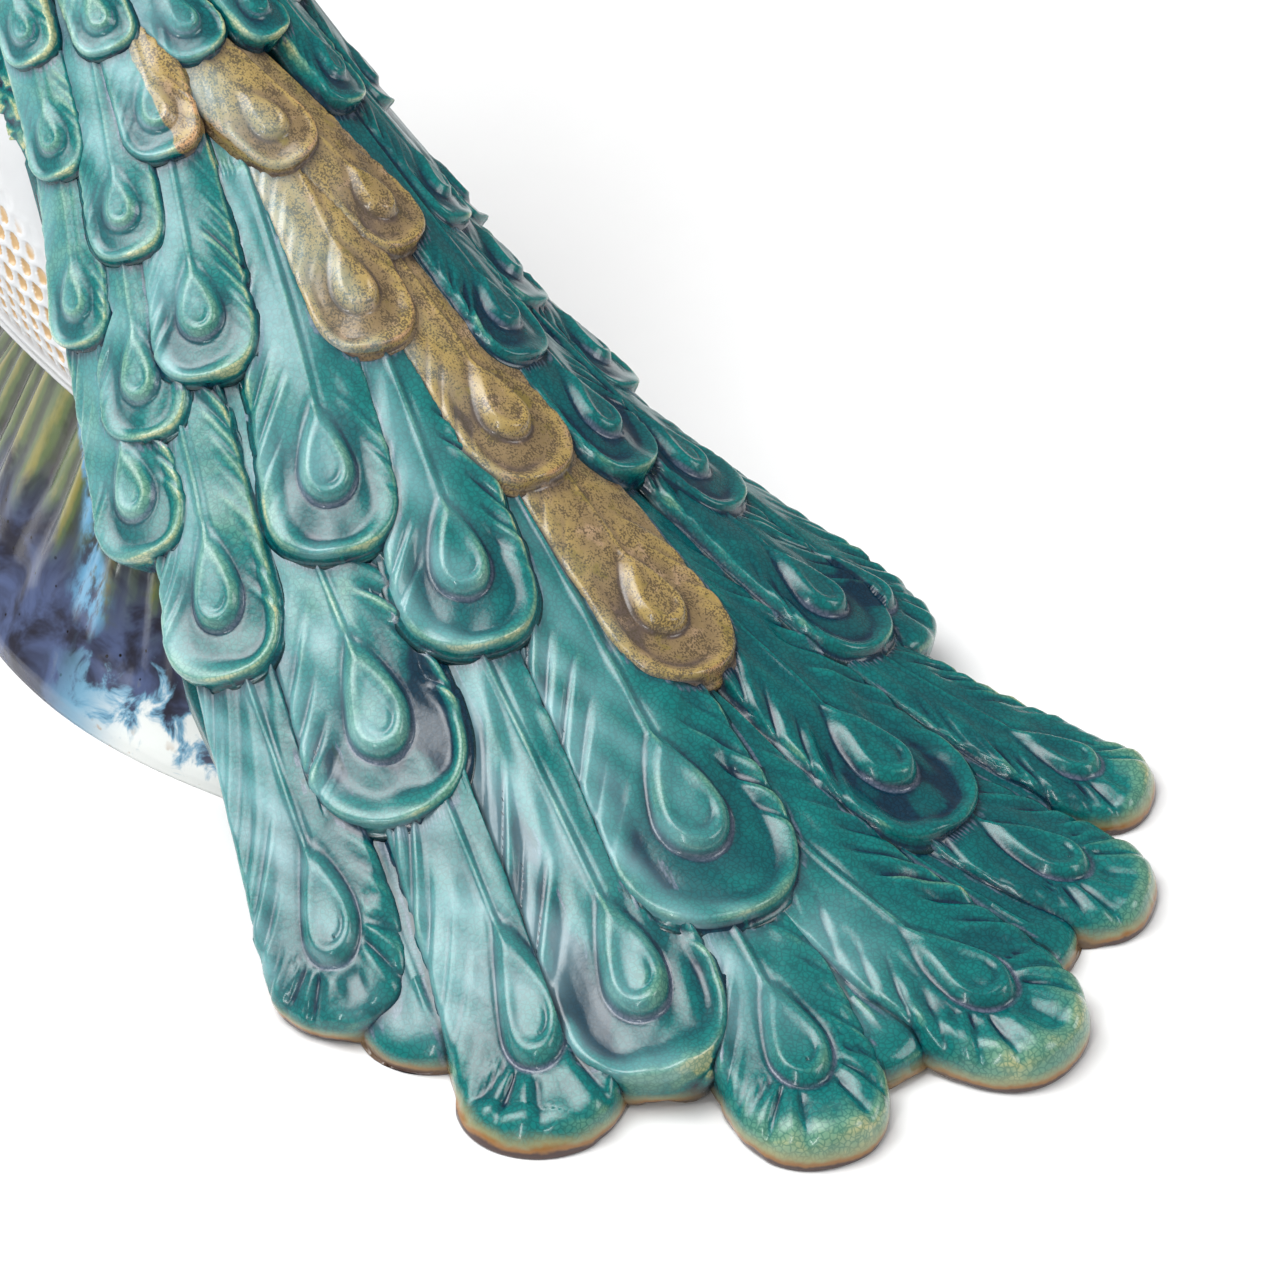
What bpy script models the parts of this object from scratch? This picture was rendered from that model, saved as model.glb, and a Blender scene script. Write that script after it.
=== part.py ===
"""A peacock of glazed stoneware on a ribbed rock, its train draped down behind it to the ground.

The figurine is fired in one piece, so it is one solid: the rock, the bird and some fifty train
feathers are modelled as closed forms and joined. +X runs from the breast to the tips of the
train, +Z is up, and the origin is in the middle of the underside, which lies on z = 0.
"""
from math import cos, pi, radians, sin

import bmesh
import bpy
from mathutils import Vector

# The train is a draped sheet. Its place t runs from 0 at the rump to 1 at the end of the fan,
# and its place s from -1 at the edge on the -Y side to 1 at the edge on the +Y side.
TRAIN_LENGTH = 0.386
RUMP_X = -0.1
BODY_Y = -0.018
TAIL_DRIFT = 0.026
RUMP_HALF_WIDTH = 0.072
FAN_SPREAD = 0.063
EDGE_SWEEP = 0.11
CREST_RISE = 0.194
CREST_END = 0.01
EDGE_RISE = 0.118
EDGE_END = 0.004

# A feather is a thick blade with a round end: its root dives under the row above it. Its length
# is a share of the train's that grows with its place down the train, and the smallest rows have
# no raised eye.
FEATHER_BASE = 0.117
FEATHER_GAIN = 0.18
FEATHER_RISE = 0.0035
FEATHER_DIP = 0.0045
FEATHER_DEPTH = 0.0095
RACHIS_RISE = 0.0016
EYE_RISE = 0.0022
EYE_BACK = 1.2
EYE_HALF_WIDTH = 0.36
SMALL_FEATHER = 0.033
EYED_ROWS = 8

# The sheet under the feathers lies this far below their mean face, and its hem this far more.
SHEET_DEPTH = 0.006
HEM_DEPTH = 0.013
BELLY_END = 0.2
BELLY_FLOOR = 0.02

# The body, its neck, its head and the legs.
BODY_HALF_WIDTH = 0.06
BREAST_REACH = 0.14
HEAD_RADIUS = 0.0185
BEAK_LENGTH = 0.024
BEAK_DROP = 0.005
HEAD_TURN = radians(14)
CREST_HEIGHT = 0.03
CREST_PLUMES = 5
CREST_SPREAD = radians(76)
CREST_THICKNESS = 0.007
LEG_HEIGHT = 0.102
LEG_RADIUS = 0.0065
LEG_SPREAD = 0.036
HIP_REACH = 0.052
TOE_LENGTH = 0.03
TOE_ANGLES = (-0.62, 0.04, 0.66)

# The wings lie against the flanks, each with two long flight feathers along its lower edge.
WING_LENGTH = 0.2
WING_HALF_BREADTH = 0.041
WING_THICKNESS = 0.016
WING_STAND_OFF = 0.063
WING_FALL = 0.09
WING_DROOP = radians(19)
WING_TUCK = 0.016
WING_EDGE_TUCK = 0.004
SHOULDER_REACH = 0.118
SHOULDER_DROP = 0.032
FLIGHT_FEATHERS = 2
FLIGHT_PROUD = 0.0022
FLIGHT_DEPTH = 0.0085

# The rock under the bird, with the flank locks that hang over it.
ROCK_HALF_LENGTH = 0.172
ROCK_HALF_WIDTH = 0.099
ROCK_HEIGHT = 0.112
ROCK_X = -0.05
LOCKS = 23
LOCK_DEPTH = 0.045

# Forms that reach the ground run this far below it, and the ground cuts them off.
UNDERCUT = 0.004
NEAR_POINTS = 0.00002
STEP = 0.002

# Trunk and neck, from under the train: each ring's place forward of the rump as a share of the
# breast's reach, its height as a share of the rump's, and its half sizes sideways and upwards
# as shares of the body's half width. The head's rings follow in shares of its radius.
TRUNK_AND_NECK = (
    (-0.64, 0.58, 0.5, 0.3), (-0.36, 0.6, 0.75, 0.43), (0, 0.7, 0.92, 0.72), (0.3, 0.78, 1, 0.94),
    (0.52, 0.865, 1, 1.07), (0.7, 0.975, 0.94, 1.09), (0.84, 1.12, 0.79, 0.94),
    (0.93, 1.29, 0.59, 0.72), (0.97, 1.46, 0.42, 0.5), (0.98, 1.6, 0.32, 0.36),
    (0.99, 1.705, 0.29, 0.31),
)
HEAD_AND_BEAK = ((0.35, 0.2, 1), (0.95, 0.15, 0.82), (1.35, -0.02, 0.5))

# One feather: the place of its tip on the train (t, s), its lean in degrees from the feather
# lines towards +Y, and its half width in thousandths of the train's length. The rows go up from
# the ground.
FEATHER_ROWS = (
    ((0.915, -0.95, -10, 65), (1.02, -0.75, -17, 73), (1.015, -0.32, -16, 65),
     (1.02, 0.25, 3, 75), (1.03, 0.68, 10, 67), (1.035, 0.89, 8, 57), (0.8, 0.96, 0, 57)),
    ((0.93, -0.48, -13, 70),),
    ((0.655, -0.62, -6, 70), (0.795, -0.09, -12, 80), (0.85, 0.55, 3, 70), (0.74, 0.84, 4, 57)),
    ((0.51, -0.89, -16, 54), (0.53, -0.22, -14, 60), (0.62, 0.32, -3, 60), (0.56, 0.9, 10, 49)),
    ((0.375, -0.95, -12, 44), (0.43, -0.45, -17, 57), (0.435, 0.26, 2, 52), (0.47, 0.66, 4, 49),
     (0.41, 0.96, 8, 41)),
    ((0.28, -0.8, -18, 41), (0.27, -0.55, -16, 44), (0.305, 0, -6, 44), (0.35, 0.5, 4, 41),
     (0.3, 0.84, 8, 39)),
    ((0.175, -0.86, -20, 31), (0.16, -0.6, -15, 34), (0.24, 0.3, 12, 39), (0.2, 0.68, 8, 34),
     (0.19, 0.95, 10, 31)),
    ((0.07, -0.72, -12, 28), (0.125, -0.35, -7, 31), (0.165, 0.08, 14, 34), (0.125, 0.48, 10, 31),
     (0.09, 0.8, 10, 28)),
    ((0, -0.62, -10, 26), (0.045, -0.34, -4, 26), (0.08, -0.02, 8, 28), (0.06, 0.3, 8, 28),
     (0.02, 0.62, 8, 26)),
    ((-0.06, -0.44, -6, 26), (-0.02, -0.12, 0, 26), (-0.03, 0.2, 6, 26), (-0.06, 0.48, 8, 26)),
    ((-0.12, -0.28, -4, 23), (-0.1, 0.02, 0, 26), (-0.12, 0.32, 6, 23)),
)


def crest(t):
    """Height of the train's middle line."""
    return CREST_END + CREST_RISE * abs(1 - t) ** 1.6


def hem(t):
    """Height of the train's two edges."""
    return EDGE_END + EDGE_RISE * abs(1 - t) ** 1.25


def half_width(t):
    return RUMP_HALF_WIDTH + FAN_SPREAD * max(t, 0) ** 1.3


def sheet(t, s):
    """A point of the train's draped sheet."""
    bow = abs(s) ** 2.2
    x = RUMP_X + TRAIN_LENGTH * t - EDGE_SWEEP * bow * max(t, 0) ** 1.2
    y = BODY_Y + TAIL_DRIFT * max(t, 0) ** 3 + half_width(t) * s
    z = hem(t) + (crest(t) - hem(t)) * (1 - bow)
    return Vector((x, y, z))


def slopes(t, s):
    """The sheet's two tangents: down the train and across it."""
    down = (sheet(t + STEP, s) - sheet(t - STEP, s)) / (2 * STEP)
    side = (sheet(t, s + STEP) - sheet(t, s - STEP)) / (2 * STEP)
    return down, side


def raised(t, s, lift):
    """A point that stands off the sheet by a lift along its normal."""
    down, side = slopes(t, s)
    return sheet(t, s) + down.cross(side).normalized() * lift


def travel(t, s, along, across):
    """The place reached from (t, s) by distances down the feather lines and square to them."""
    down, side = slopes(t, s)
    heading = down.normalized()
    skew = side.dot(heading)
    spread = (side - heading * skew).length
    step_s = across / spread
    return t + (along - step_s * skew) / down.length, s + step_s


def loft(rings):
    """A closed solid through rings with as many points each, capped at both ends."""
    mesh = bmesh.new()
    rows = [[mesh.verts.new(point) for point in ring] for ring in rings]
    count = len(rows[0])
    for row, following in zip(rows, rows[1:]):
        for index in range(count):
            after = (index + 1) % count
            mesh.faces.new((row[index], row[after], following[after], following[index]))
    mesh.faces.new(rows[0])
    mesh.faces.new(rows[-1])
    bmesh.ops.recalc_face_normals(mesh, faces=mesh.faces)
    bmesh.ops.triangulate(mesh, faces=mesh.faces)
    return mesh


def add_object(name, mesh, collection):
    data = bpy.data.meshes.new(name)
    mesh.to_mesh(data)
    mesh.free()
    item = bpy.data.objects.new(name, data)
    collection.objects.link(item)
    return item


def add_form(name, mesh, forms):
    """A form that is joined into the figurine: it stays behind as a wire guide."""
    item = add_object(name, mesh, forms)
    item.display_type = "WIRE"
    item.hide_render = True
    return item


def ellipse_ring(centre, out, up, half_out, half_up, sides):
    """Points round an ellipse in the plane of two directions."""
    angles = [2 * pi * index / sides for index in range(sides)]
    return [centre + out * (half_out * cos(a)) + up * (half_up * sin(a)) for a in angles]


def tube(centres, halves, sides):
    """A solid round a line of centres: each half is its ring's reach sideways and upwards."""
    rings = []
    for index, centre in enumerate(centres):
        before = centres[max(index - 1, 0)]
        after = centres[min(index + 1, len(centres) - 1)]
        heading = (after - before).normalized()
        out = heading.cross(Vector((0, 0, 1)))
        if out.length < 0.2:
            out = Vector((0, 1, 0))
        out.normalize()
        up = out.cross(heading)
        rings.append(ellipse_ring(centre, out, up, halves[index][0], halves[index][1], sides))
    return loft(rings)


def feather_sizes(feather):
    """A feather's half width and length."""
    length = TRAIN_LENGTH * (FEATHER_BASE + FEATHER_GAIN * feather[0])
    return TRAIN_LENGTH * feather[3] / 1000, length


def feather_place(feather, back, across):
    """The train place a distance back from a feather's tip and across its middle line."""
    t, s, lean = feather[0], feather[1], radians(feather[2])
    along = -back * cos(lean) - across * sin(lean)
    side = -back * sin(lean) + across * cos(lean)
    return travel(t, s, along, side)


def feather_blade(feather):
    """One blade: a round end, a roof along the rachis and straight walls down into the sheet."""
    half, length = feather_sizes(feather)
    stations = [(0, 0.34), (0.16 * half, 0.66), (0.5 * half, 0.92), (1.05 * half, 1),
                (0.6 * length, 0.84), (length, 0.5)]
    if half < SMALL_FEATHER * TRAIN_LENGTH:
        del stations[1]
    rings = []
    for back, share in stations:
        lift = FEATHER_RISE - (FEATHER_RISE + FEATHER_DIP) * back / length
        row = []
        for across, rise in ((-share, 0), (0, RACHIS_RISE), (share, 0)):
            row.append(raised(*feather_place(feather, back, across * half), lift + rise))
        for across in (share, -share):
            low = raised(*feather_place(feather, back, across * half * 0.98), -FEATHER_DEPTH)
            if low.z < 0.5 * FEATHER_DEPTH:
                low.z = -UNDERCUT
            row.append(low)
        rings.append(row)
    return loft(rings)


def feather_eye(feather):
    """The raised drop near a feather's end, a flattened ball drawn out towards the root."""
    half, length = feather_sizes(feather)
    mesh = bmesh.new()
    bmesh.ops.create_uvsphere(mesh, u_segments=6, v_segments=3, radius=1)
    for vert in mesh.verts:
        back = half * (EYE_BACK + (0.62 if vert.co.x > 0 else 0.38) * vert.co.x)
        across = EYE_HALF_WIDTH * half * vert.co.y * (1 - 0.3 * max(vert.co.x, 0))
        lift = FEATHER_RISE - (FEATHER_RISE + FEATHER_DIP) * back / length
        rise = RACHIS_RISE * 0.6 + EYE_RISE * vert.co.z
        vert.co = raised(*feather_place(feather, back, across), lift + rise)
    bmesh.ops.recalc_face_normals(mesh, faces=mesh.faces)
    bmesh.ops.triangulate(mesh, faces=mesh.faces)
    return mesh


def train_sheet():
    """The thick sheet under the feathers: arched above, and set back below its hem.

    Towards the rump its underside stays above the rock; from there on it stands on the ground.
    """
    rings = []
    across = (-0.98, -0.8, -0.52, -0.22, 0.1, 0.4, 0.66, 0.86, 0.98)
    for t in (-0.08, 0.03, 0.16, 0.3, 0.44, 0.58, 0.72, 0.84, 0.92):
        reach = 1 if t < 0.9 else 0.88
        ring = [raised(t, s * reach, -SHEET_DEPTH) for s in across]
        low = max(hem(t) - HEM_DEPTH, -UNDERCUT)
        foot = max(0.9 - 1.25 * hem(t) / half_width(t), 0.4)
        deep = max(low, BELLY_FLOOR) if t < BELLY_END else -UNDERCUT
        for s, z in ((0.95, low), (foot, deep), (-foot, deep), (-0.95, low)):
            under = sheet(t, s * reach)
            under.z = z
            ring.append(under)
        rings.append(ring)
    return loft(rings)


def bird_line():
    """Centres and half sizes from under the train through trunk, neck and head to the beak."""
    height = crest(0)
    centres = []
    halves = []
    for forward, rise, out, up in TRUNK_AND_NECK:
        centres.append(Vector((RUMP_X - BREAST_REACH * forward, BODY_Y, height * rise)))
        halves.append((BODY_HALF_WIDTH * out, BODY_HALF_WIDTH * up))
    face = Vector((-cos(HEAD_TURN), -sin(HEAD_TURN), 0))
    head = centres[-1] + Vector((0, 0, 0.75 * HEAD_RADIUS))
    for reach, lift, share in HEAD_AND_BEAK:
        centres.append(head + (face * reach + Vector((0, 0, lift))) * HEAD_RADIUS)
        halves.append((HEAD_RADIUS * share * 0.94, HEAD_RADIUS * share))
    brow = centres[-1]
    centres.append(brow + face * (0.5 * BEAK_LENGTH))
    centres.append(brow + face * BEAK_LENGTH - Vector((0, 0, BEAK_DROP)))
    halves += [(HEAD_RADIUS * share, HEAD_RADIUS * share) for share in (0.3, 0.08)]
    return centres, halves, head, face


def head_crest(head, face):
    """The fan on the head: a thin plate whose far edge is a row of round plume ends."""
    up = Vector((0, 0, 1))
    side = face.cross(up)
    foot = head - face * (0.25 * HEAD_RADIUS)
    sheets = []
    for half_thickness in (-CREST_THICKNESS / 2, CREST_THICKNESS / 2):
        outline = []
        steps = CREST_PLUMES * 4
        for index in range(steps + 1):
            lean = CREST_SPREAD * (0.5 - index / steps)
            lobe = abs(sin(pi * CREST_PLUMES * index / steps)) ** 0.6
            reach = HEAD_RADIUS + CREST_HEIGHT * (0.8 + 0.2 * lobe)
            way = up * cos(lean) + face * (sin(lean) - 0.25)
            outline.append(foot + way * reach + side * (half_thickness * 0.7))
        outline.append(foot - face * (0.3 * HEAD_RADIUS) + side * half_thickness)
        outline.append(foot + face * (0.3 * HEAD_RADIUS) + side * half_thickness)
        sheets.append(outline)
    return loft(sheets)


def wing_point(side, u, v, depth):
    """A point of a wing: u from the shoulder to the tip, v across it, depth in from its face."""
    breadth = WING_HALF_BREADTH * sin(pi * min(0.2 + 0.76 * u, 1)) ** 0.75
    x = RUMP_X - SHOULDER_REACH + 0.84 * WING_LENGTH * u + breadth * v * sin(WING_DROOP)
    z = crest(0) - SHOULDER_DROP - WING_FALL * u ** 1.15 + breadth * v * cos(WING_DROOP)
    if u < 0.2:
        swell = 2.5 * (sin(pi * u ** 0.8) - 6 * (0.2 - u))
    else:
        swell = sin(pi * min(u, 1) ** 0.8)
    tuck = WING_TUCK * max(v, 0) ** 1.4 + WING_EDGE_TUCK * min(v, 0) ** 2
    bulge = WING_STAND_OFF * (0.98 + 0.16 * swell) - tuck
    return Vector((x, BODY_Y + side * (bulge - depth), z))


def wing(side):
    """A leaf against the flank: thick in its middle, thin at its lower edge."""
    rings = []
    backs = ((0.92, WING_THICKNESS), (0, 1.6 * WING_THICKNESS), (-0.92, 0.4 * WING_THICKNESS))
    for u in (0, 0.14, 0.32, 0.5, 0.7, 0.87, 1):
        outer = [wing_point(side, u, v, 0) for v in (-1, -0.5, 0, 0.5, 1)]
        inner = [wing_point(side, u, v, depth) for v, depth in backs]
        rings.append(outer + inner)
    return loft(rings)


def flight_feather(side, row):
    """One long feather along the wing's lower edge, standing a little proud."""
    middle = -0.86 + row * 0.42
    rings = []
    for u in (0.28, 0.5, 0.72, 0.9, 1.02 - 0.05 * row):
        half = 0.17 if u < 0.9 else 0.12
        proud = 0.0006 * row - FLIGHT_PROUD
        outer = [wing_point(side, u, middle + v * half, proud) for v in (-1, 0, 1)]
        inner = [wing_point(side, u, middle + v * half, FLIGHT_DEPTH) for v in (1, -1)]
        rings.append(outer + inner)
    return loft(rings)


def rock():
    """The mound: a flared foot, and upright flank locks as ribs round its upper half.

    A level is its share of the height, its share of the foot's size and the depth of its ribs.
    Under the train the levels sink with the train's own fall.
    """
    levels = ((0.06, 1, 0.2), (0.21, 0.88, 0.6), (0.43, 0.76, 1), (0.7, 0.67, 1), (1, 0.56, 0.5))
    angles = [pi * index / LOCKS for index in range(2 * LOCKS)]
    rings = []
    for height, share, ribs in ((-UNDERCUT / ROCK_HEIGHT, 1, 0),) + levels:
        ring = []
        for angle in angles:
            rib = 1 + LOCK_DEPTH * ribs * cos(LOCKS * angle)
            wave = 1 + 0.03 * (1 - ribs) * cos(5 * angle + 1)
            x = ROCK_X + ROCK_HALF_LENGTH * share * rib * wave * cos(angle)
            y = BODY_Y + ROCK_HALF_WIDTH * share * rib * wave * sin(angle)
            room = crest(max(x - RUMP_X, 0) / TRAIN_LENGTH) - 2.5 * FEATHER_DEPTH
            ring.append(Vector((x, y, height * min(room, ROCK_HEIGHT))))
        rings.append(ring)
    return loft(rings)


def leg_line(side):
    """Hip, knee and heel of one leg."""
    hip = Vector((RUMP_X - HIP_REACH, BODY_Y + side * LEG_SPREAD, 0.69 * crest(0)))
    knee = hip + Vector((-0.118, side * 0.04, -0.51)) * LEG_HEIGHT
    heel = knee + Vector((-0.059, side * 0.04, -0.49)) * LEG_HEIGHT
    return hip, knee, heel


def leg(side):
    """A feathered thigh and a shank that stands against the rock."""
    hip, knee, heel = leg_line(side)
    shares = ((3, 4.5), (2.6, 3.6), (1.1, 1.2), (1, 1))
    halves = [(LEG_RADIUS * out, LEG_RADIUS * up) for out, up in shares]
    return tube([hip, hip.lerp(knee, 0.5), knee, heel], halves, 8)


def toe(side, spread):
    heel = leg_line(side)[2] + Vector((0, 0, 0.6 * LEG_RADIUS))
    angle = pi - side * spread
    way = Vector((cos(angle), sin(angle), -0.62)) * TOE_LENGTH
    halves = [(LEG_RADIUS * share, LEG_RADIUS * share) for share in (0.8, 0.85, 0.4)]
    return tube([heel - way * 0.25, heel + way * 0.55, heel + way], halves, 7)


def glaze():
    """The material: a glossy teal glaze."""
    material = bpy.data.materials.new("teal_glaze")
    material.use_nodes = True
    shader = material.node_tree.nodes["Principled BSDF"]
    shader.inputs["Base Color"].default_value = (0.02, 0.22, 0.22, 1)
    shader.inputs["Roughness"].default_value = 0.12
    shader.inputs["Metallic"].default_value = 0
    return material


def join(item, name, operation, **operand):
    cut = item.modifiers.new(name, "BOOLEAN")
    cut.operation = operation
    cut.solver = "EXACT"
    for key, value in operand.items():
        setattr(cut, key, value)


def build():
    for item in list(bpy.data.objects):
        bpy.data.objects.remove(item, do_unlink=True)
    scene = bpy.context.scene.collection
    parts = bpy.data.collections.new("peacock_figurine")
    forms = bpy.data.collections.new("joined_forms")
    cutters = bpy.data.collections.new("cutters")
    for collection in (parts, forms, cutters):
        scene.children.link(collection)

    add_form("train_sheet", train_sheet(), forms)
    for row, feathers in enumerate(FEATHER_ROWS):
        for place, feather in enumerate(feathers):
            add_form(f"feather_{row}_{place}", feather_blade(feather), forms)
            if row < EYED_ROWS:
                add_form(f"eye_{row}_{place}", feather_eye(feather), forms)
    centres, halves, head, face = bird_line()
    add_form("bird", tube(centres, halves, 12), forms)
    add_form("head_crest", head_crest(head, face), forms)
    for side in (-1, 1):
        add_form("wing", wing(side), forms)
        for row in range(FLIGHT_FEATHERS):
            add_form("flight_feather", flight_feather(side, row), forms)
        add_form("leg", leg(side), forms)
        for spread in TOE_ANGLES:
            add_form("toe", toe(side, spread), forms)

    ground = bmesh.new()
    bmesh.ops.create_cube(ground, size=1)
    bmesh.ops.translate(ground, verts=ground.verts, vec=(0, 0, -0.5))
    floor = add_form("ground_cutter", ground, cutters)

    figurine = add_object("peacock_figurine", rock(), parts)
    figurine.data.materials.append(glaze())
    join(figurine, "join_forms", "UNION", operand_type="COLLECTION", collection=forms)
    join(figurine, "flat_underside", "DIFFERENCE", object=floor)
    weld = figurine.modifiers.new("merge_near_points", "WELD")
    weld.merge_threshold = NEAR_POINTS


build()
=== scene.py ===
"""The looks of a glazed stoneware peacock: train feathers, bird, wings, rock and their glazes."""

from math import cos, pi, radians, sin

import bpy
import numpy as np
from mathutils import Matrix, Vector


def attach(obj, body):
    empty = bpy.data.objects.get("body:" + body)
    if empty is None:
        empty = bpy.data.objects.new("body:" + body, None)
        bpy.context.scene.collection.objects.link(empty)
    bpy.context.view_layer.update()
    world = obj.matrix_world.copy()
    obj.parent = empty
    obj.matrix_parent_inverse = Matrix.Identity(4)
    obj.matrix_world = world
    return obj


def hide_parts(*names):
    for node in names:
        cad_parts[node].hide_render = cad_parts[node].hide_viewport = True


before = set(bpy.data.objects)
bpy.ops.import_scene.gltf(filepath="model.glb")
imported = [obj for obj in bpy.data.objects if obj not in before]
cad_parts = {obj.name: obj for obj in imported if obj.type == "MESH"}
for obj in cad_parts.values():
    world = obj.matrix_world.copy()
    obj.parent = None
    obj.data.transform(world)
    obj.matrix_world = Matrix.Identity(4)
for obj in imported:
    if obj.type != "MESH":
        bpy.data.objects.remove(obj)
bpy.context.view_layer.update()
bpy.ops.object.select_all(action="DESELECT")

MM = 0.001

# The train: a draped sheet with a place t from the rump (0) to the end (1), and s from -1 to 1.
TRAIN_LENGTH = 0.386
RUMP_X = -0.1
BODY_Y = -0.018
TAIL_DRIFT = 0.026
RUMP_HALF_WIDTH = 0.072
FAN_SPREAD = 0.063
EDGE_SWEEP = 0.11
CREST_RISE = 0.194
CREST_END = 0.01
EDGE_RISE = 0.118
EDGE_END = 0.004
SHEET_DEPTH = 0.006
HEM_DEPTH = 0.013
BELLY_END = 0.2
BELLY_FLOOR = 0.02
UNDERCUT_GAP = 0.0002
STEP = 0.002

# A train feather: its length, its thickness and its round end, and how its barbs sweep.
FEATHER_BASE_LENGTH = 0.074
FEATHER_GAIN = 0.1
FEATHER_RISE = 0.0035
FEATHER_DIP = 0.0045
FEATHER_DEPTH = 0.0095
# Feathers that are laid over another keep this much above it, and are looked for so many rows away.
LAID_GAP = 0.0007
ROWS_APART = 4
ROUND_END = 1.05
ROUNDNESS = 2.4
SWEEP_RIGHT = 0.95
SWEEP_LEFT = 1.15
SWEEP_POWER = 1.6
CROWN = 0.0016
EYE_BACK = 1.22
FULL_RELIEF = 0.025
TRIM = 0.0004

TEAL, GOLD, MIXED = 0, 1, 0.5
# Each feather: the place of its tip (t, s), its lean towards +Y in degrees, its half width in
# millimetres, how much more its root leans than its tip, and its glaze.
FEATHER_ROWS = (
    ((0.915, -0.95, -12, 25, 3, TEAL), (1.018, -0.75, -19, 28, 6, TEAL),
     (1.012, -0.32, -22, 26, 12, TEAL), (1.018, 0.25, 6, 29, -7, TEAL),
     (1.03, 0.675, 15, 26, -9, TEAL), (1.035, 0.88, 7, 22, 6, TEAL), (0.8, 0.955, -4, 22, 8, TEAL)),
    ((0.925, -0.48, -16, 27, 6, TEAL),),
    ((0.655, -0.62, -9, 27, 5, TEAL), (0.795, -0.09, -15, 31, 6, TEAL),
     (0.85, 0.55, -2, 27, 10, TEAL), (0.74, 0.84, 2, 22, 6, TEAL)),
    ((0.51, -0.86, -17, 21, 0, TEAL), (0.53, -0.22, -16, 23, 4, TEAL),
     (0.62, 0.32, -6, 23, 5, GOLD), (0.56, 0.9, 14, 19, -4, TEAL)),
    ((0.375, -0.915, -10, 17, -6, TEAL), (0.43, -0.45, -19, 22, 4, TEAL),
     (0.435, 0.29, -2, 21, 6, GOLD), (0.47, 0.66, 4, 19, 3, TEAL), (0.41, 0.96, 8, 16, 0, TEAL)),
    ((0.28, -0.8, -21, 16, 3, TEAL), (0.27, -0.55, -16, 17, -3, TEAL),
     (0.305, 0.01, -7, 17.5, 4, GOLD), (0.35, 0.55, 0, 16, 8, TEAL), (0.3, 0.84, 8, 15, 0, TEAL)),
    ((0.175, -0.86, -24, 12, 8, TEAL), (0.16, -0.61, -15, 13, -4, TEAL),
     (0.24, 0.38, 16, 15, 12, GOLD), (0.22, 0.7, 8, 13, 4, TEAL), (0.19, 0.95, 10, 12, 0, TEAL)),
    ((0.07, -0.7, -14, 11, 6, TEAL), (0.125, -0.35, -8, 12.5, 2, MIXED),
     (0.165, 0.13, 20, 13.5, 8, GOLD), (0.125, 0.5, 10, 12, 0, TEAL), (0.09, 0.8, 10, 11, 0, TEAL)),
    ((0, -0.62, -12, 10, 5, TEAL), (0.045, -0.37, -4, 10, 2, TEAL),
     (0.08, -0.02, 16, 11.5, 10, TEAL), (0.08, 0.28, 12, 11, 6, TEAL), (0.02, 0.62, 8, 10, 0, TEAL)),
    ((-0.06, -0.44, -6, 10, 0, TEAL), (-0.02, -0.12, 0, 10, 0, TEAL),
     (-0.03, 0.2, 6, 10, 0, TEAL), (-0.06, 0.48, 8, 10, 0, TEAL)),
    ((-0.12, -0.28, -4, 9, 0, TEAL), (-0.1, 0.02, 0, 10, 0, TEAL), (-0.12, 0.32, 6, 9, 0, TEAL)),
)
EYED_ROWS = 9
FILLER_DROP = 0.0044
# Plain feathers that show only between the tips of the ground row.
FILLERS = ((0.935, -0.86, -13, 21, 3, TEAL), (0.975, 0.47, 9, 23, -6, TEAL), (0.95, 0.8, 8, 20, 4, TEAL),
           (0.95, -0.03, -6, 22, 4, TEAL))

# The bird's trunk, head, beak, crest, legs and toes.
BODY_HALF_WIDTH = 0.06
BREAST_REACH = 0.14
HEAD_RADIUS = 0.0185
BEAK_LENGTH = 0.024
BEAK_DROP = 0.005
HEAD_TURN = radians(14)
CREST_HEIGHT = 0.03
CREST_PLUMES = 5
CREST_SPREAD = radians(76)
CREST_THICKNESS = 0.007
LEG_HEIGHT = 0.102
LEG_RADIUS = 0.0065
LEG_SPREAD = 0.036
HIP_REACH = 0.052
TOE_LENGTH = 0.03
TOE_ANGLES = (-0.62, 0.04, 0.66)
# Rings: forward of the rump in shares of the breast's reach, height in shares of the rump's, and
# half sizes sideways and upwards in shares of the body's half width.
TRUNK_AND_NECK = (
    (-0.64, 0.58, 0.5, 0.3), (-0.36, 0.6, 0.75, 0.43), (0, 0.7, 0.92, 0.72), (0.3, 0.78, 1, 0.94),
    (0.52, 0.865, 1, 1.07), (0.7, 0.975, 0.94, 1.09), (0.84, 1.12, 0.79, 0.94),
    (0.93, 1.29, 0.59, 0.72), (0.97, 1.46, 0.42, 0.5), (0.98, 1.6, 0.32, 0.36),
    (0.99, 1.705, 0.29, 0.31),
)
# Rings of the head, in shares of its radius: how far forward, how high and how wide.
HEAD_RINGS = ((0.35, 0.2, 1), (0.95, 0.15, 0.82), (1.35, -0.02, 0.5))

# Wings: white glaze, pierced with rows of small pits above two long plain feathers.
WING_LENGTH = 0.2
WING_HALF_BREADTH = 0.041
WING_THICKNESS = 0.016
WING_STAND_OFF = 0.063
WING_FALL = 0.09
WING_DROOP = radians(19)
PIT_ROW = 0.0049
PIT_PITCH = 0.0062
PLAIN_BAND = 0.012
SHOULDER_REACH = 0.118
SHOULDER_DROP = 0.032

# Rock: a flared foot, with upright locks round its upper half.
ROCK_HALF_LENGTH = 0.172
ROCK_HALF_WIDTH = 0.099
ROCK_HEIGHT = 0.112
ROCK_X = -0.05
LOCKS = 24
LOCK_DEPTH = 0.045

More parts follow.
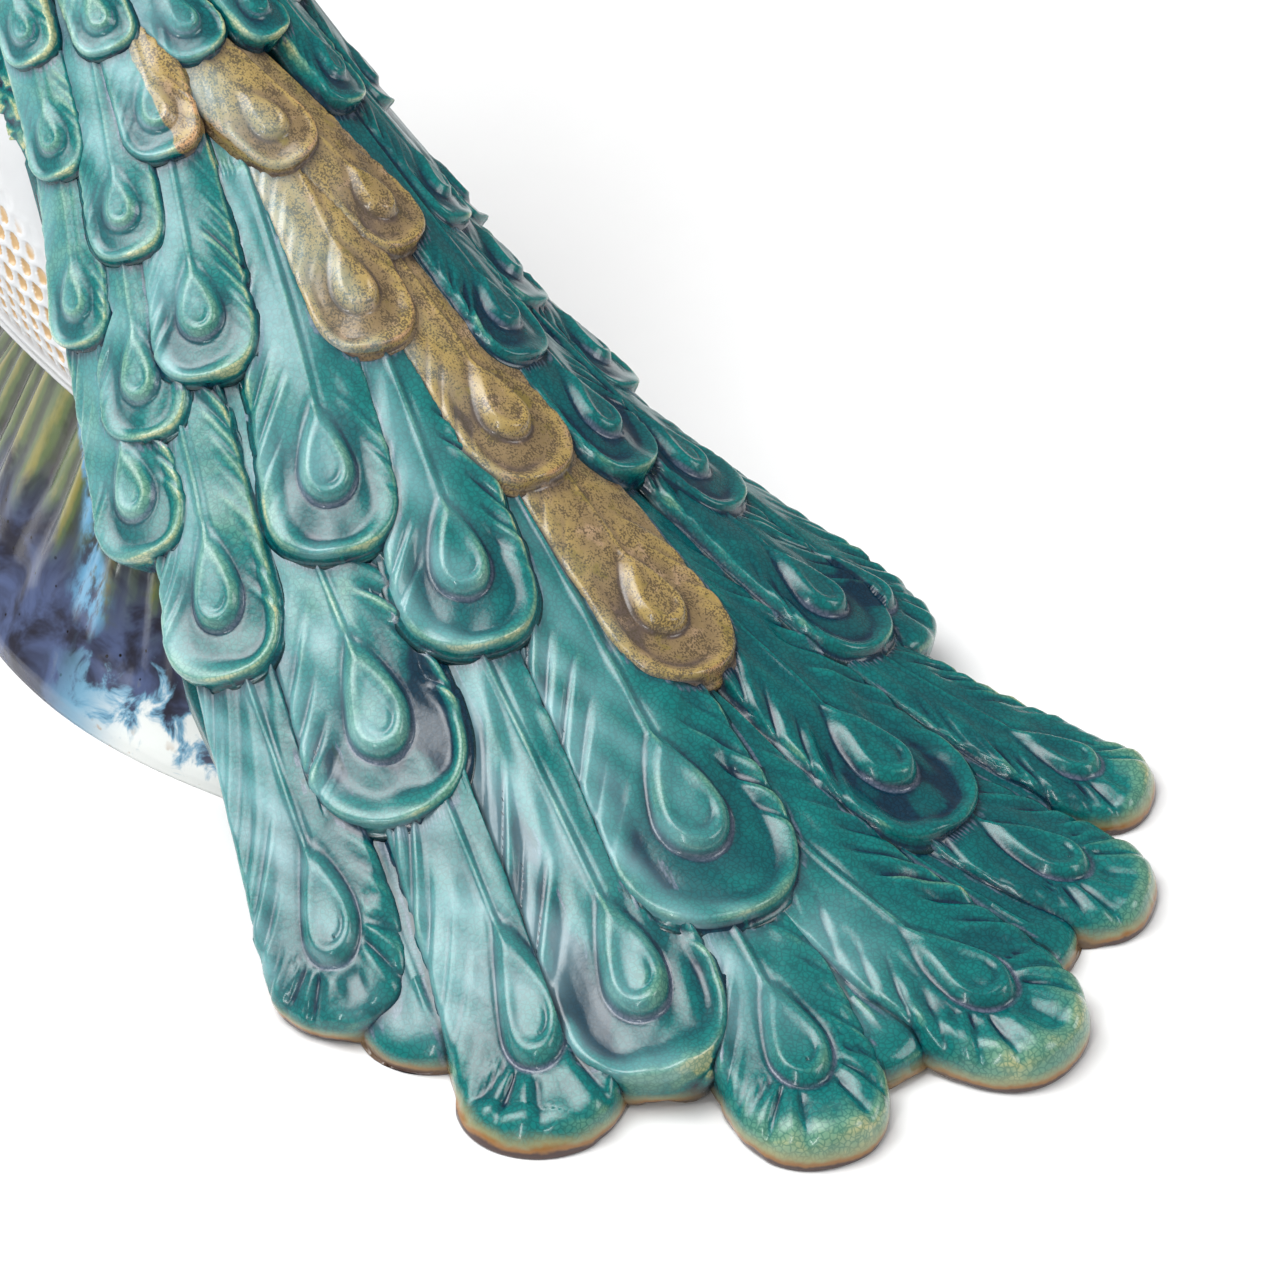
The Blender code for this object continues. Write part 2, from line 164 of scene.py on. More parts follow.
# The camera looks at the train from behind the bird's left shoulder.
VIEW_TARGET = Vector((0.117, 0.01, 0.06))
VIEW_AZIMUTH = radians(55)
VIEW_ELEVATION = radians(40)
VIEW_DISTANCE = 1.6
VIEW_WIDTH = 0.384
SENSOR = 36


def make_camera():
    bpy.ops.object.camera_add()
    camera = bpy.context.object
    away = Vector((sin(VIEW_AZIMUTH) * cos(VIEW_ELEVATION),
                   -cos(VIEW_AZIMUTH) * cos(VIEW_ELEVATION), sin(VIEW_ELEVATION)))
    camera.location = VIEW_TARGET + away * VIEW_DISTANCE
    camera.rotation_euler = (-away).to_track_quat("-Z", "Y").to_euler()
    camera.data.sensor_width = SENSOR
    camera.data.lens = SENSOR * VIEW_DISTANCE / VIEW_WIDTH
    bpy.context.scene.camera = camera


def smooth(value, low, high):
    """0 at low, 1 at high, with soft ends; low may be above high."""
    share = np.clip((value - low) / (high - low), 0, 1)
    return share * share * (3 - 2 * share)


def bump(value, middle, width):
    return np.exp(-((value - middle) / width) ** 2)


def unit(vectors):
    return vectors / np.maximum(np.linalg.norm(vectors, axis=-1, keepdims=True), 1e-12)


def points_of(x, y, z):
    return np.stack(np.broadcast_arrays(x, y, z), axis=-1).astype(float)


def wander(x, y, z, seed):
    """A soft uneven value from -1 to 1 made of a few waves: x, y and z are in waves."""
    total = 0
    for turn in range(1, 5):
        a, b, c = (sin(seed * 1.7 + turn * k) for k in (2.1, 3.3, 4.7))
        total = total + np.sin(2 * pi * (a * x + b * y + c * z) * (0.7 + 0.5 * turn) + seed * turn)
    return total / 4


def crest(t):
    return CREST_END + CREST_RISE * np.abs(1 - t) ** 1.6


def hem(t):
    return EDGE_END + EDGE_RISE * np.abs(1 - t) ** 1.25


def half_width(t):
    return RUMP_HALF_WIDTH + FAN_SPREAD * np.maximum(t, 0) ** 1.3


def sheet(t, s):
    bow = np.abs(s) ** 2.2
    x = RUMP_X + TRAIN_LENGTH * t - EDGE_SWEEP * bow * np.maximum(t, 0) ** 1.2
    y = BODY_Y + TAIL_DRIFT * np.maximum(t, 0) ** 3 + half_width(t) * s
    z = hem(t) + (crest(t) - hem(t)) * (1 - bow)
    return points_of(x, y, z)


def slopes(t, s):
    down = (sheet(t + STEP, s) - sheet(t - STEP, s)) / (2 * STEP)
    side = (sheet(t, s + STEP) - sheet(t, s - STEP)) / (2 * STEP)
    return down, side


def raised(t, s, lift):
    normal = unit(np.cross(*slopes(t, s)))
    return sheet(t, s) + normal * np.asarray(lift)[..., None]


def floor_level(t, s):
    """How far under the sheet the ground lies, or the hem where the sheet ends."""
    normal = unit(np.cross(*slopes(t, s)))
    ground = -sheet(t, s)[..., 2] / np.maximum(normal[..., 2], 0.3)
    return np.maximum(ground, -FEATHER_DEPTH)


class Feather:
    """One train feather, with a local frame: b back from its tip, a across it towards +Y."""

    def __init__(self, row, place, values):
        t, s, lean, half, bend, glaze = values
        self.row = row
        self.seed = 7 * row + place + 1
        self.t, self.s = t, s
        self.half = half * MM - TRIM
        self.length = FEATHER_BASE_LENGTH + FEATHER_GAIN * t
        self.bend = np.tan(radians(bend))
        self.glaze = glaze
        self.fine = min(max(half * MM / FULL_RELIEF, 0.42), 1.12)
        self.extra = (0.0013 * (place % 2) - 0.0005) + (0.0012 if row == 1 else 0)
        self.eyed = row < EYED_ROWS
        self.ground = 1.0 if row == 0 else 0.0
        self.filler = False
        down, side = (np.array(way) for way in slopes(t, s))
        heading = unit(down)
        skew = float(side @ heading)
        spread = float(np.linalg.norm(side - heading * skew))
        c, d = cos(radians(lean)), sin(radians(lean))
        along = np.array((-c, -d))
        across = np.array((-d, c))
        step_s = across / spread
        step_t = (along - step_s * skew) / float(np.linalg.norm(down))
        self.matrix = np.array((step_t, step_s))
        self.inverse = np.linalg.inv(self.matrix)

    def shift(self, b):
        run = np.maximum(b - self.half, 0)
        return -self.bend * run ** 2 / (2 * (self.length - self.half))

    def place(self, b, a):
        across = a + self.shift(b)
        t = self.t + self.matrix[0, 0] * b + self.matrix[0, 1] * across
        s = self.s + self.matrix[1, 0] * b + self.matrix[1, 1] * across
        return t, s

    def local(self, t, s):
        dt, ds = t - self.t, s - self.s
        b = self.inverse[0, 0] * dt + self.inverse[0, 1] * ds
        a = self.inverse[1, 0] * dt + self.inverse[1, 1] * ds
        return b, a - self.shift(b)

    def edge(self, b):
        """Half width at a distance back from the tip."""
        end = ROUND_END * self.half
        share = np.clip(1 - b / end, 0, 1)
        tip = self.half * (1 - share ** ROUNDNESS) ** (1 / ROUNDNESS)
        taper = np.interp(b, (end, 0.6 * self.length, self.length), (1, 0.97, 0.8))
        return np.where(b < end, tip, self.half * taper)

    def inset(self, b, a):
        """Distance in from the outline, negative outside it."""
        end = ROUND_END * self.half
        reach = np.hypot(b - end, a)
        share = (np.abs((end - b) / end) ** ROUNDNESS
                 + np.abs(a / self.half) ** ROUNDNESS) ** (1 / ROUNDNESS)
        share = np.maximum(share, 0.05)
        tip = reach * (1 / share - 1)
        inside = np.where(b < end, tip, self.edge(b) - np.abs(a))
        return np.minimum(inside, self.length - b)

    def sweep(self, b, a):
        """Where on the middle line the barb through a place starts."""
        reach = np.where(a > 0, SWEEP_RIGHT, SWEEP_LEFT) * self.half
        return b + reach * (np.abs(a) / self.half) ** SWEEP_POWER

    def barbs(self, b, a):
        """Ridges and grooves that sweep out from the middle line and towards the tip."""
        half = self.half
        x = np.abs(a) / half
        start = self.sweep(b, a)
        right = a > 0
        pitch = np.where(right, 0.4, 0.46) * half * (0.88 + 0.24 * sin(self.seed) ** 2)
        turn = start / pitch + np.where(right, sin(self.seed * 1.3), cos(self.seed * 2.1))
        count = np.rint(turn)
        part = turn - count
        strength = 0.6 + 0.4 * np.sin(count * 2.6 + self.seed)
        patchy = 0.6 + 0.4 * np.sin(start / half * 1.7 + self.seed * 2.3 + np.where(right, 0, 2))
        begin = 0.34 + 0.12 * np.sin(turn * 1.9 + self.seed) + 0.16 * smooth(start, 2.5 * half, 1.9 * half)
        ridge = strength * bump(part, 0.2, 0.2 + 0.1 * x)
        groove = (0.75 + 0.25 * np.sin(turn * 1.3)) * bump(np.abs(part), 0.5, 0.07 + 0.07 * x)
        room = smooth(x, begin, begin + 0.34) * smooth(start, 1.35 * half, 1.8 * half)
        room = room * smooth(start, 5.6 * half, 4.6 * half)
        return (0.9 * ridge - groove) * room * patchy * np.where(right, 1, 0.75)

    def rays(self, b, a):
        """Grooves that fan out round the eye to the outline of a feather without a rim."""
        half = self.half
        ahead = EYE_BACK * half - b
        angle = np.arctan2((np.abs(a) / half) ** SWEEP_POWER, ahead / half) * np.sign(a)
        turn = angle / 0.42 + 0.5 + sin(self.seed * 1.9)
        part = turn - np.rint(turn)
        lines = 0.5 * bump(part, 0.1, 0.24) - 0.7 * bump(np.abs(part), 0.5, 0.15)
        lines = lines * smooth(ahead, -0.1 * half, 0.15 * half)
        return lines * smooth(self.sweep(b, a), 1.75 * half, 1.4 * half)

    def eye_place(self, b, a):
        """Distance out from the drop's outline, and 1 on its tip side."""
        along = b - EYE_BACK * self.half
        power = np.where(along < 0, 2, 1.4)
        reach = np.where(along < 0, 0.4, 0.82) * self.half
        eye_half = 0.36 * self.half
        drop = (np.abs(along / reach) ** power + np.abs(a / eye_half) ** power) ** (1 / power)
        return (drop - 1) * eye_half, drop, along

    def basin(self, b, a):
        """1 in the hollow between the drop and the end's rim."""
        off = self.eye_place(b, a)[0]
        uneven = 1 + 0.3 * np.sin(a / (0.3 * self.half) + self.seed)
        hollow_share = smooth(self.inset(b, a), 2.2 * self.fine * MM, 9 * self.fine * MM * uneven)
        hollow_share = hollow_share * smooth(off, 0.2 * MM, 2.5 * MM)
        return hollow_share * smooth(b, 2.3 * self.half, 1.1 * self.half)

    def relief(self, b, a):
        half, fine = self.half, self.fine
        own = fine * MM
        edge = np.maximum(self.edge(b), 0.3 * MM)
        inset = self.inset(b, a)
        near_tip = smooth(b, 2.3 * half, 1.1 * half)
        rimmed = 0.0 if self.filler else 1 - 0.75 * self.ground
        rise = CROWN * (1 - np.clip(np.abs(a) / edge, 0, 1) ** 2)
        lip = bump(inset, 1.5 * own, 1.1 * own) * near_tip * rimmed
        rise = rise + 0.22 * own * lip
        if self.eyed:
            off, drop, along = self.eye_place(b, a)
            rise = rise - 2.5 * own * self.basin(b, a) * (1 - 0.6 * self.ground)
            rise = rise + 2.3 * own * smooth(off, 1.2 * own, -1.9 * own)
            rise = rise - 0.5 * own * smooth(off, -2.4 * own, -5 * own)
            notch = bump(drop, 0.5, 0.09) * smooth(along, 0.1 * half, -0.1 * half)
            rise = rise - 0.5 * own * notch * smooth(a, -0.1 * half, 0.1 * half)
            ditch = bump(off, 1.6 * MM, 0.8 * MM) * smooth(b, 2.8 * half, 2.1 * half)
            rise = rise - 0.6 * own * ditch
            rise = rise + 1.5 * own * self.ground * self.rays(b, a) * smooth(off, 2 * MM, 6 * MM)
            foot = (EYE_BACK + 0.6) * half
        else:
            foot = 0.5 * half
        shaft = smooth(b, foot, foot + 0.3 * half)
        rise = rise + 0.85 * own * bump(a, 0, 0.95 * MM) * shaft
        rise = rise - 0.35 * own * bump(a, 2.2 * MM, 1.1 * MM) * shaft
        rise = rise + (2.1 - self.glaze) * own * self.barbs(b, a)
        rise = rise + 0.7 * own * wander(b / 0.05, a / 0.03, self.seed, self.seed)
        loose = self.ground * smooth(b, 1.7 * half, 0.6 * half)
        run = (2 * fine + 10 * loose) * MM
        fall = (1.9 * fine + 4.8 * loose) * MM
        rounding = np.clip(1 - inset / run, 0, 1)
        return rise - fall * (1 - np.sqrt(1 - rounding ** 2))

    def top(self, b, a):
        lift = FEATHER_RISE - (FEATHER_RISE + FEATHER_DIP) * b / self.length + self.extra
        return lift + self.relief(b, a)

    def outline(self, side, spine):
        """Places along one side, from the root round to the tip's middle.

        The first ones end the barbs that start at the given places of the middle line. The rest
        lie evenly round the tip.
        """
        end = ROUND_END * self.half
        straight = np.linspace(self.length + 0.5 * self.half, end, 300, endpoint=False)
        angle = np.linspace(pi / 2, 0, 300)
        power = 2 / ROUNDNESS
        back = np.concatenate((straight, end * (1 - np.cos(angle) ** power)))
        reach = np.concatenate((self.edge(straight), self.half * np.sin(angle) ** power))
        starts = self.sweep(back, side * reach)
        first_back = np.interp(-spine, -starts, back)
        first_reach = np.interp(-spine, -starts, reach)
        run = np.concatenate(((0,), np.cumsum(np.hypot(np.diff(back), np.diff(reach)))))
        begin = float(np.interp(-EYE_BACK * self.half, -starts, run))
        even = np.linspace(begin, run[-1], 1 + len(spine) // 3)
        back = np.concatenate((first_back, np.interp(even, run, back)))
        reach = np.concatenate((first_reach, np.interp(even, run, reach)))
        return back, side * reach


feathers = []
for row_number, row_values in enumerate(FEATHER_ROWS):
    for place_number, feather_values in enumerate(row_values):
        feathers.append(Feather(row_number, place_number, feather_values))
for place_number, feather_values in enumerate(FILLERS):
    filler = Feather(0, 20 + place_number, feather_values)
    filler.eyed = False
    filler.filler = True
    filler.extra = -FILLER_DROP
    feathers.append(filler)


def others_top(feather, t, s):
    """The highest surface of the other feathers and the sheet over places of the train."""
    level = np.where((np.abs(s) < 0.965) & (t < 0.93), -SHEET_DEPTH, -1.0)
    level = np.maximum(level, floor_level(t, s))
    for other in feathers:
        if other is feather or abs(other.row - feather.row) > ROWS_APART:
            continue
        b, a = other.local(t, s)
        near = (b > 0) & (b < other.length) & (np.abs(a) < other.half)
        if not near.any():
            continue
        inside = np.zeros_like(near)
        inside[near] = other.inset(b[near], a[near]) > 0
        if inside.any():
            level[inside] = np.maximum(level[inside], other.top(b[inside], a[inside]))
    return level


def settle(feather, b, a, height):
    """Keeps a feather's surface under the feathers of the higher rows."""
    t, s = feather.place(b, a)
    for other in feathers:
        if not 0 < other.row - feather.row <= ROWS_APART:
            continue
        other_b, other_a = other.local(t, s)
        near = (other_b > 0) & (other_b < other.length) & (np.abs(other_a) < other.half)
        if not near.any():
            continue
        cover = other.top(other_b[near], other_a[near]) - LAID_GAP
        under = other.inset(other_b[near], other_a[near]) > 0.5 * MM
        height[near] = np.where(under, np.minimum(height[near], cover), height[near])
    return height


def crease_depth(feather, t, s, height):
    """1 at the foot of a higher feather's wall, falling to 0 a few millimetres from it."""
    depth = np.zeros_like(height)
    for other in feathers:
        if other is feather or abs(other.row - feather.row) > 2:
            continue
        b, a = other.local(t, s)
        near = (b > -6 * MM) & (b < other.length) & (np.abs(a) < other.half + 6 * MM)
        if not near.any():
            continue
        gap = -other.inset(b[near], a[near])
        edge_level = other.top(np.maximum(b[near], 3 * MM), np.clip(a[near], -0.9, 0.9) * 0.9)
        higher = smooth(edge_level - height[near], 0.3 * MM, 1.5 * MM)
        value = (1 - smooth(gap, 0.5 * MM, 5 * MM)) * (gap > -1 * MM) * higher
        depth[near] = np.maximum(depth[near], value)
    return depth


def hollow(feather, b, a, height, radius, ways):
    """How far a place lies below the mean of the surface round it, in metres."""
    total = 0
    for index in range(ways):
        angle = 2 * pi * (index + 0.25) / ways
        near_b = b + radius * cos(angle)
        near_a = a + radius * sin(angle)
        level = others_top(feather, *feather.place(near_b, near_a))
        inside = feather.inset(near_b, near_a) > 0
        own = np.where(inside, feather.top(near_b, near_a), -1)
        total = total + np.clip(np.maximum(level, own) - height, -4 * radius, 4 * radius)
    return total / ways


def sheet_mesh(name, places, **layers):
    """A grid primitive moved to rows and columns of places, with colour layers on its points."""
    rows, columns = places.shape[:2]
    bpy.ops.mesh.primitive_grid_add(x_subdivisions=columns - 1, y_subdivisions=rows - 1, size=2)
    item = bpy.context.object
    item.name = name
    mesh = item.data
    mesh.name = name
    flat = np.empty(len(mesh.vertices) * 3, dtype=np.float32)
    mesh.vertices.foreach_get("co", flat)
    flat = flat.reshape(-1, 3)
    column = np.rint((flat[:, 0] + 1) / 2 * (columns - 1)).astype(int)
    row = np.rint((flat[:, 1] + 1) / 2 * (rows - 1)).astype(int)
    mesh.vertices.foreach_set("co", places[row, column].astype(np.float32).ravel())
    for layer_name, values in layers.items():
        layer = mesh.attributes.new(layer_name, "FLOAT_COLOR", "POINT")
        layer.data.foreach_set("color", values[row, column].astype(np.float32).ravel())
    mesh.update()
    return item


def close_mesh(item, merge=0.00001):
    """Merges seams and poles, fills open ends, turns the faces out and shades them smooth."""
    bpy.ops.object.select_all(action="DESELECT")
    item.select_set(True)
    bpy.context.view_layer.objects.active = item
    bpy.ops.object.mode_set(mode="EDIT")
    bpy.ops.mesh.select_all(action="SELECT")
    bpy.ops.mesh.remove_doubles(threshold=merge)
    bpy.ops.mesh.select_all(action="SELECT")
    bpy.ops.mesh.fill_holes(sides=0)
    bpy.ops.mesh.select_all(action="SELECT")
    bpy.ops.mesh.normals_make_consistent(inside=False)
    bpy.ops.object.mode_set(mode="OBJECT")
    bpy.ops.object.shade_smooth()


def join_pieces(items, name):
    bpy.ops.object.select_all(action="DESELECT")
    for item in items:
        item.select_set(True)
    bpy.context.view_layer.objects.active = items[0]
    if len(items) > 1:
        bpy.ops.object.join()
    piece = bpy.context.object
    piece.name = name
    piece.data.name = name
    return piece


def four(first, second, third, fourth):
    return np.stack(np.broadcast_arrays(first, second, third, fourth), axis=-1)


def feather_mesh(feather):
    """A closed shell: columns run from the middle line out to the edge, then down the wall."""
    fineness = feather.fine ** 0.75 * (0.6 if feather.filler else 1)
    top_rows = int(42 * fineness)
    pole = EYE_BACK * feather.half
    spine = np.linspace(feather.length + 1.2 * feather.half, pole, int(74 * fineness), endpoint=False)
    left_back, left_reach = feather.outline(-1, spine)
    right_back, right_reach = feather.outline(1, spine)
    back = np.concatenate((left_back, right_back[-2::-1]))
    reach = np.concatenate((left_reach, right_reach[-2::-1]))
    start = np.full(len(left_back), pole)
    start[:len(spine)] = spine
    start = np.concatenate((start, start[-2::-1]))
    notch = 0.035 * feather.barbs(back, reach * 0.97) * smooth(back, 0.6 * feather.half, feather.half)
    reach = reach * (1 + notch)
    even = np.linspace(0, 1, 400)
    density = 1 + 1.3 * bump(even, 0.42, 0.16) + 2 * smooth(even, 0.78, 1)
    run = np.concatenate(((0,), np.cumsum((density[1:] + density[:-1]) / 2)))
    v = np.interp(np.linspace(0, run[-1], top_rows), run, even)[:, None]
    b = start - (start - back) * v ** SWEEP_POWER
    a = v * reach
    height = settle(feather, b, a, feather.top(b, a))

    step_b = np.gradient(back)
    step_a = np.gradient(reach)
    size = np.maximum(np.hypot(step_b, step_a), 1e-9)
    out_b, out_a = -step_a / size, step_b / size
    flip = np.sign(out_a * reach + out_b * (back - pole) + 1e-12)
    out_b, out_a = out_b * flip, out_a * flip
    edge_height = height[-1]
    probe = feather.place(back + 2.5 * MM * out_b, reach + 2.5 * MM * out_a)
    level = others_top(feather, *probe)
    ground = floor_level(*probe)
    free = (level - ground < 1.2 * MM).astype(float)
    kernel = np.ones(13) / 13
    free = np.convolve(np.pad(free, 6, mode="edge"), kernel, mode="valid")
    under = np.minimum(level, edge_height - 0.8 * MM)
    under = np.convolve(np.pad(under, 6, mode="edge"), kernel, mode="valid")
    # Each wall ring: how far out it stands where feathers lie below, where none does, and its height.
    walls = ((0.25, 0.2, 0.84), (0.6, 0.4, 0.62), (0.95, 0.45, 0.42), (1.35, 0.45, 0.25),
             (1.9, 0.4, 0.12), (2.6, 0.3, 0), (3.4, 0.1, -0.5))
    rows_b, rows_a, rows_h = [b], [a], [height]
    free_shares = (0.86, 0.7, 0.52, 0.34, 0.18, 0.07, 0)
    for (skirt, bulge, share), free_share in zip(walls, free_shares):
        offset = ((1 - free) * skirt * feather.fine ** 0.7 + free * bulge) * MM
        row_b = back + offset * out_b
        row_a = reach + offset * out_a
        lowest = floor_level(*feather.place(row_b, row_a))
        joined = under + share * np.maximum(edge_height - under, 3 * MM if share < 0 else 0)
        loose = lowest + free_share * (edge_height - lowest)
        rows_b.append(row_b[None])
        rows_a.append(row_a[None])
        rows_h.append(((1 - free) * joined + free * loose)[None])
    b = np.concatenate(rows_b)
    a = np.concatenate(rows_a)
    height = np.concatenate(rows_h)
    small = hollow(feather, b, a, height, 1.5 * MM, 6)
    large = hollow(feather, b, a, height, 4.5 * MM, 8)
    t, s = feather.place(b, a)
    patch = 0.62 + 0.5 * wander(t / 0.1, s / 0.35, 0, feather.seed + 3)
    patch = np.clip(patch + 0.3 * np.tanh(a / (0.4 * feather.half)), 0.1, 1)
    small = np.where(small < 0, patch * small, small)
    large = np.where(large < 0, 0.22 * patch * large, np.minimum(large, 3 * MM))
    large = large * (1 - free * np.linspace(0, 1, len(b))[:, None] ** 8)
    if feather.eyed:
        side = 1 - 0.45 * np.tanh(a / (0.5 * feather.half))
        large = large + 1.15 * MM * feather.basin(b, a) * side * (1 - 0.6 * feather.ground)
    crease = crease_depth(feather, t, s, height)
    pool = bump(crease, 0.72, 0.22)
    foot_shares = np.array([share for skirt, bulge, share in walls])[:, None]
    own_wall = smooth(foot_shares, 0.5, 0.05) * (1 - free)
    large[top_rows:] = large[top_rows:] + 1.3 * MM * smooth(foot_shares, 1, 0.3) * (1 - free)
    crease[top_rows:] = np.maximum(crease[top_rows:], own_wall)
    pool[top_rows:] = 0
    if feather.eyed:
        off, drop, along = feather.eye_place(b, a)
        ring = bump(off, 1.7 * feather.fine * MM, 1.1 * feather.fine * MM)
        pool = np.maximum(pool, 0.8 * ring * smooth(along, 0.3 * feather.half, -0.1 * feather.half))
    places = raised(t, s, height)
    places[..., 2] = np.maximum(places[..., 2], 0)
    base = raised(*feather.place(start, 0 * start), np.full_like(start, -FEATHER_DEPTH))
    base[..., 2] = np.maximum(base[..., 2], 0)
    places = np.concatenate((places, base[None]))
    gold = np.full_like(b, float(feather.glaze))
    if feather.glaze == MIXED:
        gold = smooth(a + 0.15 * b, 0.05 * feather.half, 0.5 * feather.half)
    # Tone: a random difference per feather, plus painted light and shade. Feathers to the left of the train
    # (s below 0) are painted lighter and those to the right darker, as the light falls on them.
    tone = 0.46 + 0.09 * sin(feather.seed * 3.7) + 0.22 * smooth(s, -0.1, -0.6)
    tone = tone - 0.42 * smooth(s, -0.1, 0.4)
    pale_tip = 0.85 * smooth(t, 0.945, 1.02) * smooth(s, -0.95, -0.5)
    tone = tone + feather.ground * (pale_tip - 0.5 * smooth(s, -0.35, -0.6))
    # Painted sheen: a pale cyan reflection of the light is painted on the left side of each feather and on
    # the train's left feathers. It is weaker in the basins, fades on the ground row's far ends and is left
    # off the walls.
    painted_sheen = (0.55 - 0.45 * np.tanh(a / (0.35 * feather.half))) * smooth(s, 0.35, -0.15)
    painted_sheen = painted_sheen * np.clip(0.22 + 0.2 * wander(t / 0.12, s / 0.3, 0, feather.seed + 5), 0, 1)
    painted_sheen = painted_sheen * (1 - feather.ground * smooth(t, 0.85, 0.95))
    if feather.eyed:
        painted_sheen = painted_sheen * (1 - 0.8 * feather.basin(b, a))
    painted_sheen[top_rows:] = 0
    bare = (1 - smooth(feather.inset(b, a), -0.2 * MM, 3 * MM)) * free[None, :]
    small = small * (1 - 0.8 * bare)
    large = large * (1 - 0.8 * bare)
    colour = four(0.5 + small / (4 * MM), 0.5 + large / (10 * MM), gold, tone)
    marks = four(bare, painted_sheen, pool, crease)
    colour = np.concatenate((colour, colour[-1:]))
    marks = np.concatenate((marks, marks[-1:]))
    item = sheet_mesh(f"feather_{feather.row}_{feather.seed}", places, glaze=colour, marks=marks)
    close_mesh(item)
    return item


def closed_rings(name, rings, layers):
    """A solid through rings: each ring's first place is repeated to close it."""
    wrapped = np.concatenate((rings, rings[:, :1]), axis=1)
    layers = {key: np.concatenate((value, value[:, :1]), axis=1) for key, value in layers.items()}
    item = sheet_mesh(name, wrapped, **layers)
    close_mesh(item)
    return item


def train_sheet():
    """The thick sheet that carries the feathers, arched above and set back below its hem."""
    t = np.linspace(-0.08, 0.92, 120)[:, None]
    reach = np.where(t < 0.9, 1, 0.9) * (0.84 + 0.16 * smooth(t, 0.3, 0.5))
    top = np.linspace(-0.98, 0.98, 60)[None, :] * reach
    above = raised(np.broadcast_to(t, top.shape), top, np.full(top.shape, -SHEET_DEPTH))
    low = np.maximum(hem(t) - HEM_DEPTH, UNDERCUT_GAP)
    foot = np.maximum(0.9 - 1.25 * hem(t) / half_width(t), 0.4)
    belly = smooth(t, BELLY_END + 0.1, BELLY_END - 0.04)
    deep = UNDERCUT_GAP + belly * np.maximum(low, BELLY_FLOOR)
    under = []
    for share, z in ((0.95 + 0 * t, low), (foot, deep), (-foot, deep), (-0.95 + 0 * t, low)):
        place = sheet(t, share * reach)
        place[..., 2] = z
        under.append(place)
    between = []
    for first, second in zip(under, under[1:]):
        for share in np.linspace(0, 1, 8, endpoint=False):
            between.append(first + (second - first) * share)
    between.append(under[-1])
    rings = np.concatenate([above] + between, axis=1)
    shape = rings.shape[:2]
    colour = four(np.full(shape, 0.52), np.full(shape, 0.6), 0, 0.5)
    marks = four(np.zeros(shape), 0, 0, 0.5)
    return closed_rings("train_underlay", rings, {"glaze": colour, "marks": marks})


def bird_line():
    height = float(crest(0))
    centres, halves = [], []
    for forward, rise, out, up in TRUNK_AND_NECK:
        centres.append((RUMP_X - BREAST_REACH * forward, BODY_Y, height * rise))
        halves.append((BODY_HALF_WIDTH * out, BODY_HALF_WIDTH * up))
    face = np.array((-cos(HEAD_TURN), -sin(HEAD_TURN), 0))
    head = np.array(centres[-1]) + np.array((0, 0, 0.75 * HEAD_RADIUS))
    for reach, lift, share in HEAD_RINGS:
        centres.append(head + (face * reach + np.array((0, 0, lift))) * HEAD_RADIUS)
        halves.append((HEAD_RADIUS * share * 0.94, HEAD_RADIUS * share))
    return np.array(centres, dtype=float), np.array(halves), head, face


def even_line(centres, halves, count, blur):
    """The line and its half sizes at evenly spaced places, with its corners softened."""
    run = np.concatenate(((0,), np.cumsum(np.linalg.norm(np.diff(centres, axis=0), axis=1))))
    even = np.linspace(0, run[-1], count)
    values = np.concatenate((centres, halves), axis=1)
    fine = np.stack([np.interp(even, run, values[:, k]) for k in range(values.shape[1])], axis=1)
    if blur:
        kernel = np.exp(-np.linspace(-2, 2, 2 * blur + 1) ** 2)
        kernel = kernel / kernel.sum()
        before, after = 2 * fine[:1] - fine[blur:0:-1], 2 * fine[-1:] - fine[-2:-blur - 2:-1]
        padded = np.concatenate((before, fine, after))
        fine = np.stack([np.convolve(padded[:, k], kernel, "valid") for k in range(fine.shape[1])], axis=1)
    return fine[:, :3], fine[:, 3:], even


def ring_axes(centres):
    """The ways out to the side and up, square to a line."""
    heading = unit(np.gradient(centres, axis=0))
    out = np.cross(heading, (0, 0, 1))
    strength = np.linalg.norm(out, axis=1)
    out = np.where(strength[:, None] < 0.2, (0, 1, 0), unit(out))
    return out, np.cross(out, heading)


def scale_height(row, column):
    """Overlapping round-ended scales: 0 in the seams, 1 at the proud end of each scale."""
    best = np.zeros_like(row)
    base = np.floor(row)
    for back in (0, 1):
        number = base - back
        run = row - number
        offset = 0.5 * (number % 2)
        across = (column - offset) - np.rint(column - offset)
        half = np.where(run < 0.9, 0.5, 0.5 * np.sqrt(np.clip(1 - ((run - 0.9) / 0.75) ** 2, 0, 1)))
        inside = smooth(half - np.abs(across), 0, 0.09)
        height = (0.3 + 0.42 * run - 0.5 * across ** 2) * inside
        height = height + 0.16 * bump(across, 0, 0.06) * inside
        best = np.maximum(best, height)
    return best


def simple_hollows(height):
    """The small and the large hollow of a height field on rings, in metres."""
    ways = [(row, column) for row in (-1, 0, 1) for column in (-1, 0, 1) if row or column]
    result = []
    for reach in (1, 3):
        total = sum(np.roll(height, (row * reach, column * reach), axis=(0, 1)) for row, column in ways)
        result.append(total / len(ways) - height)
    return result


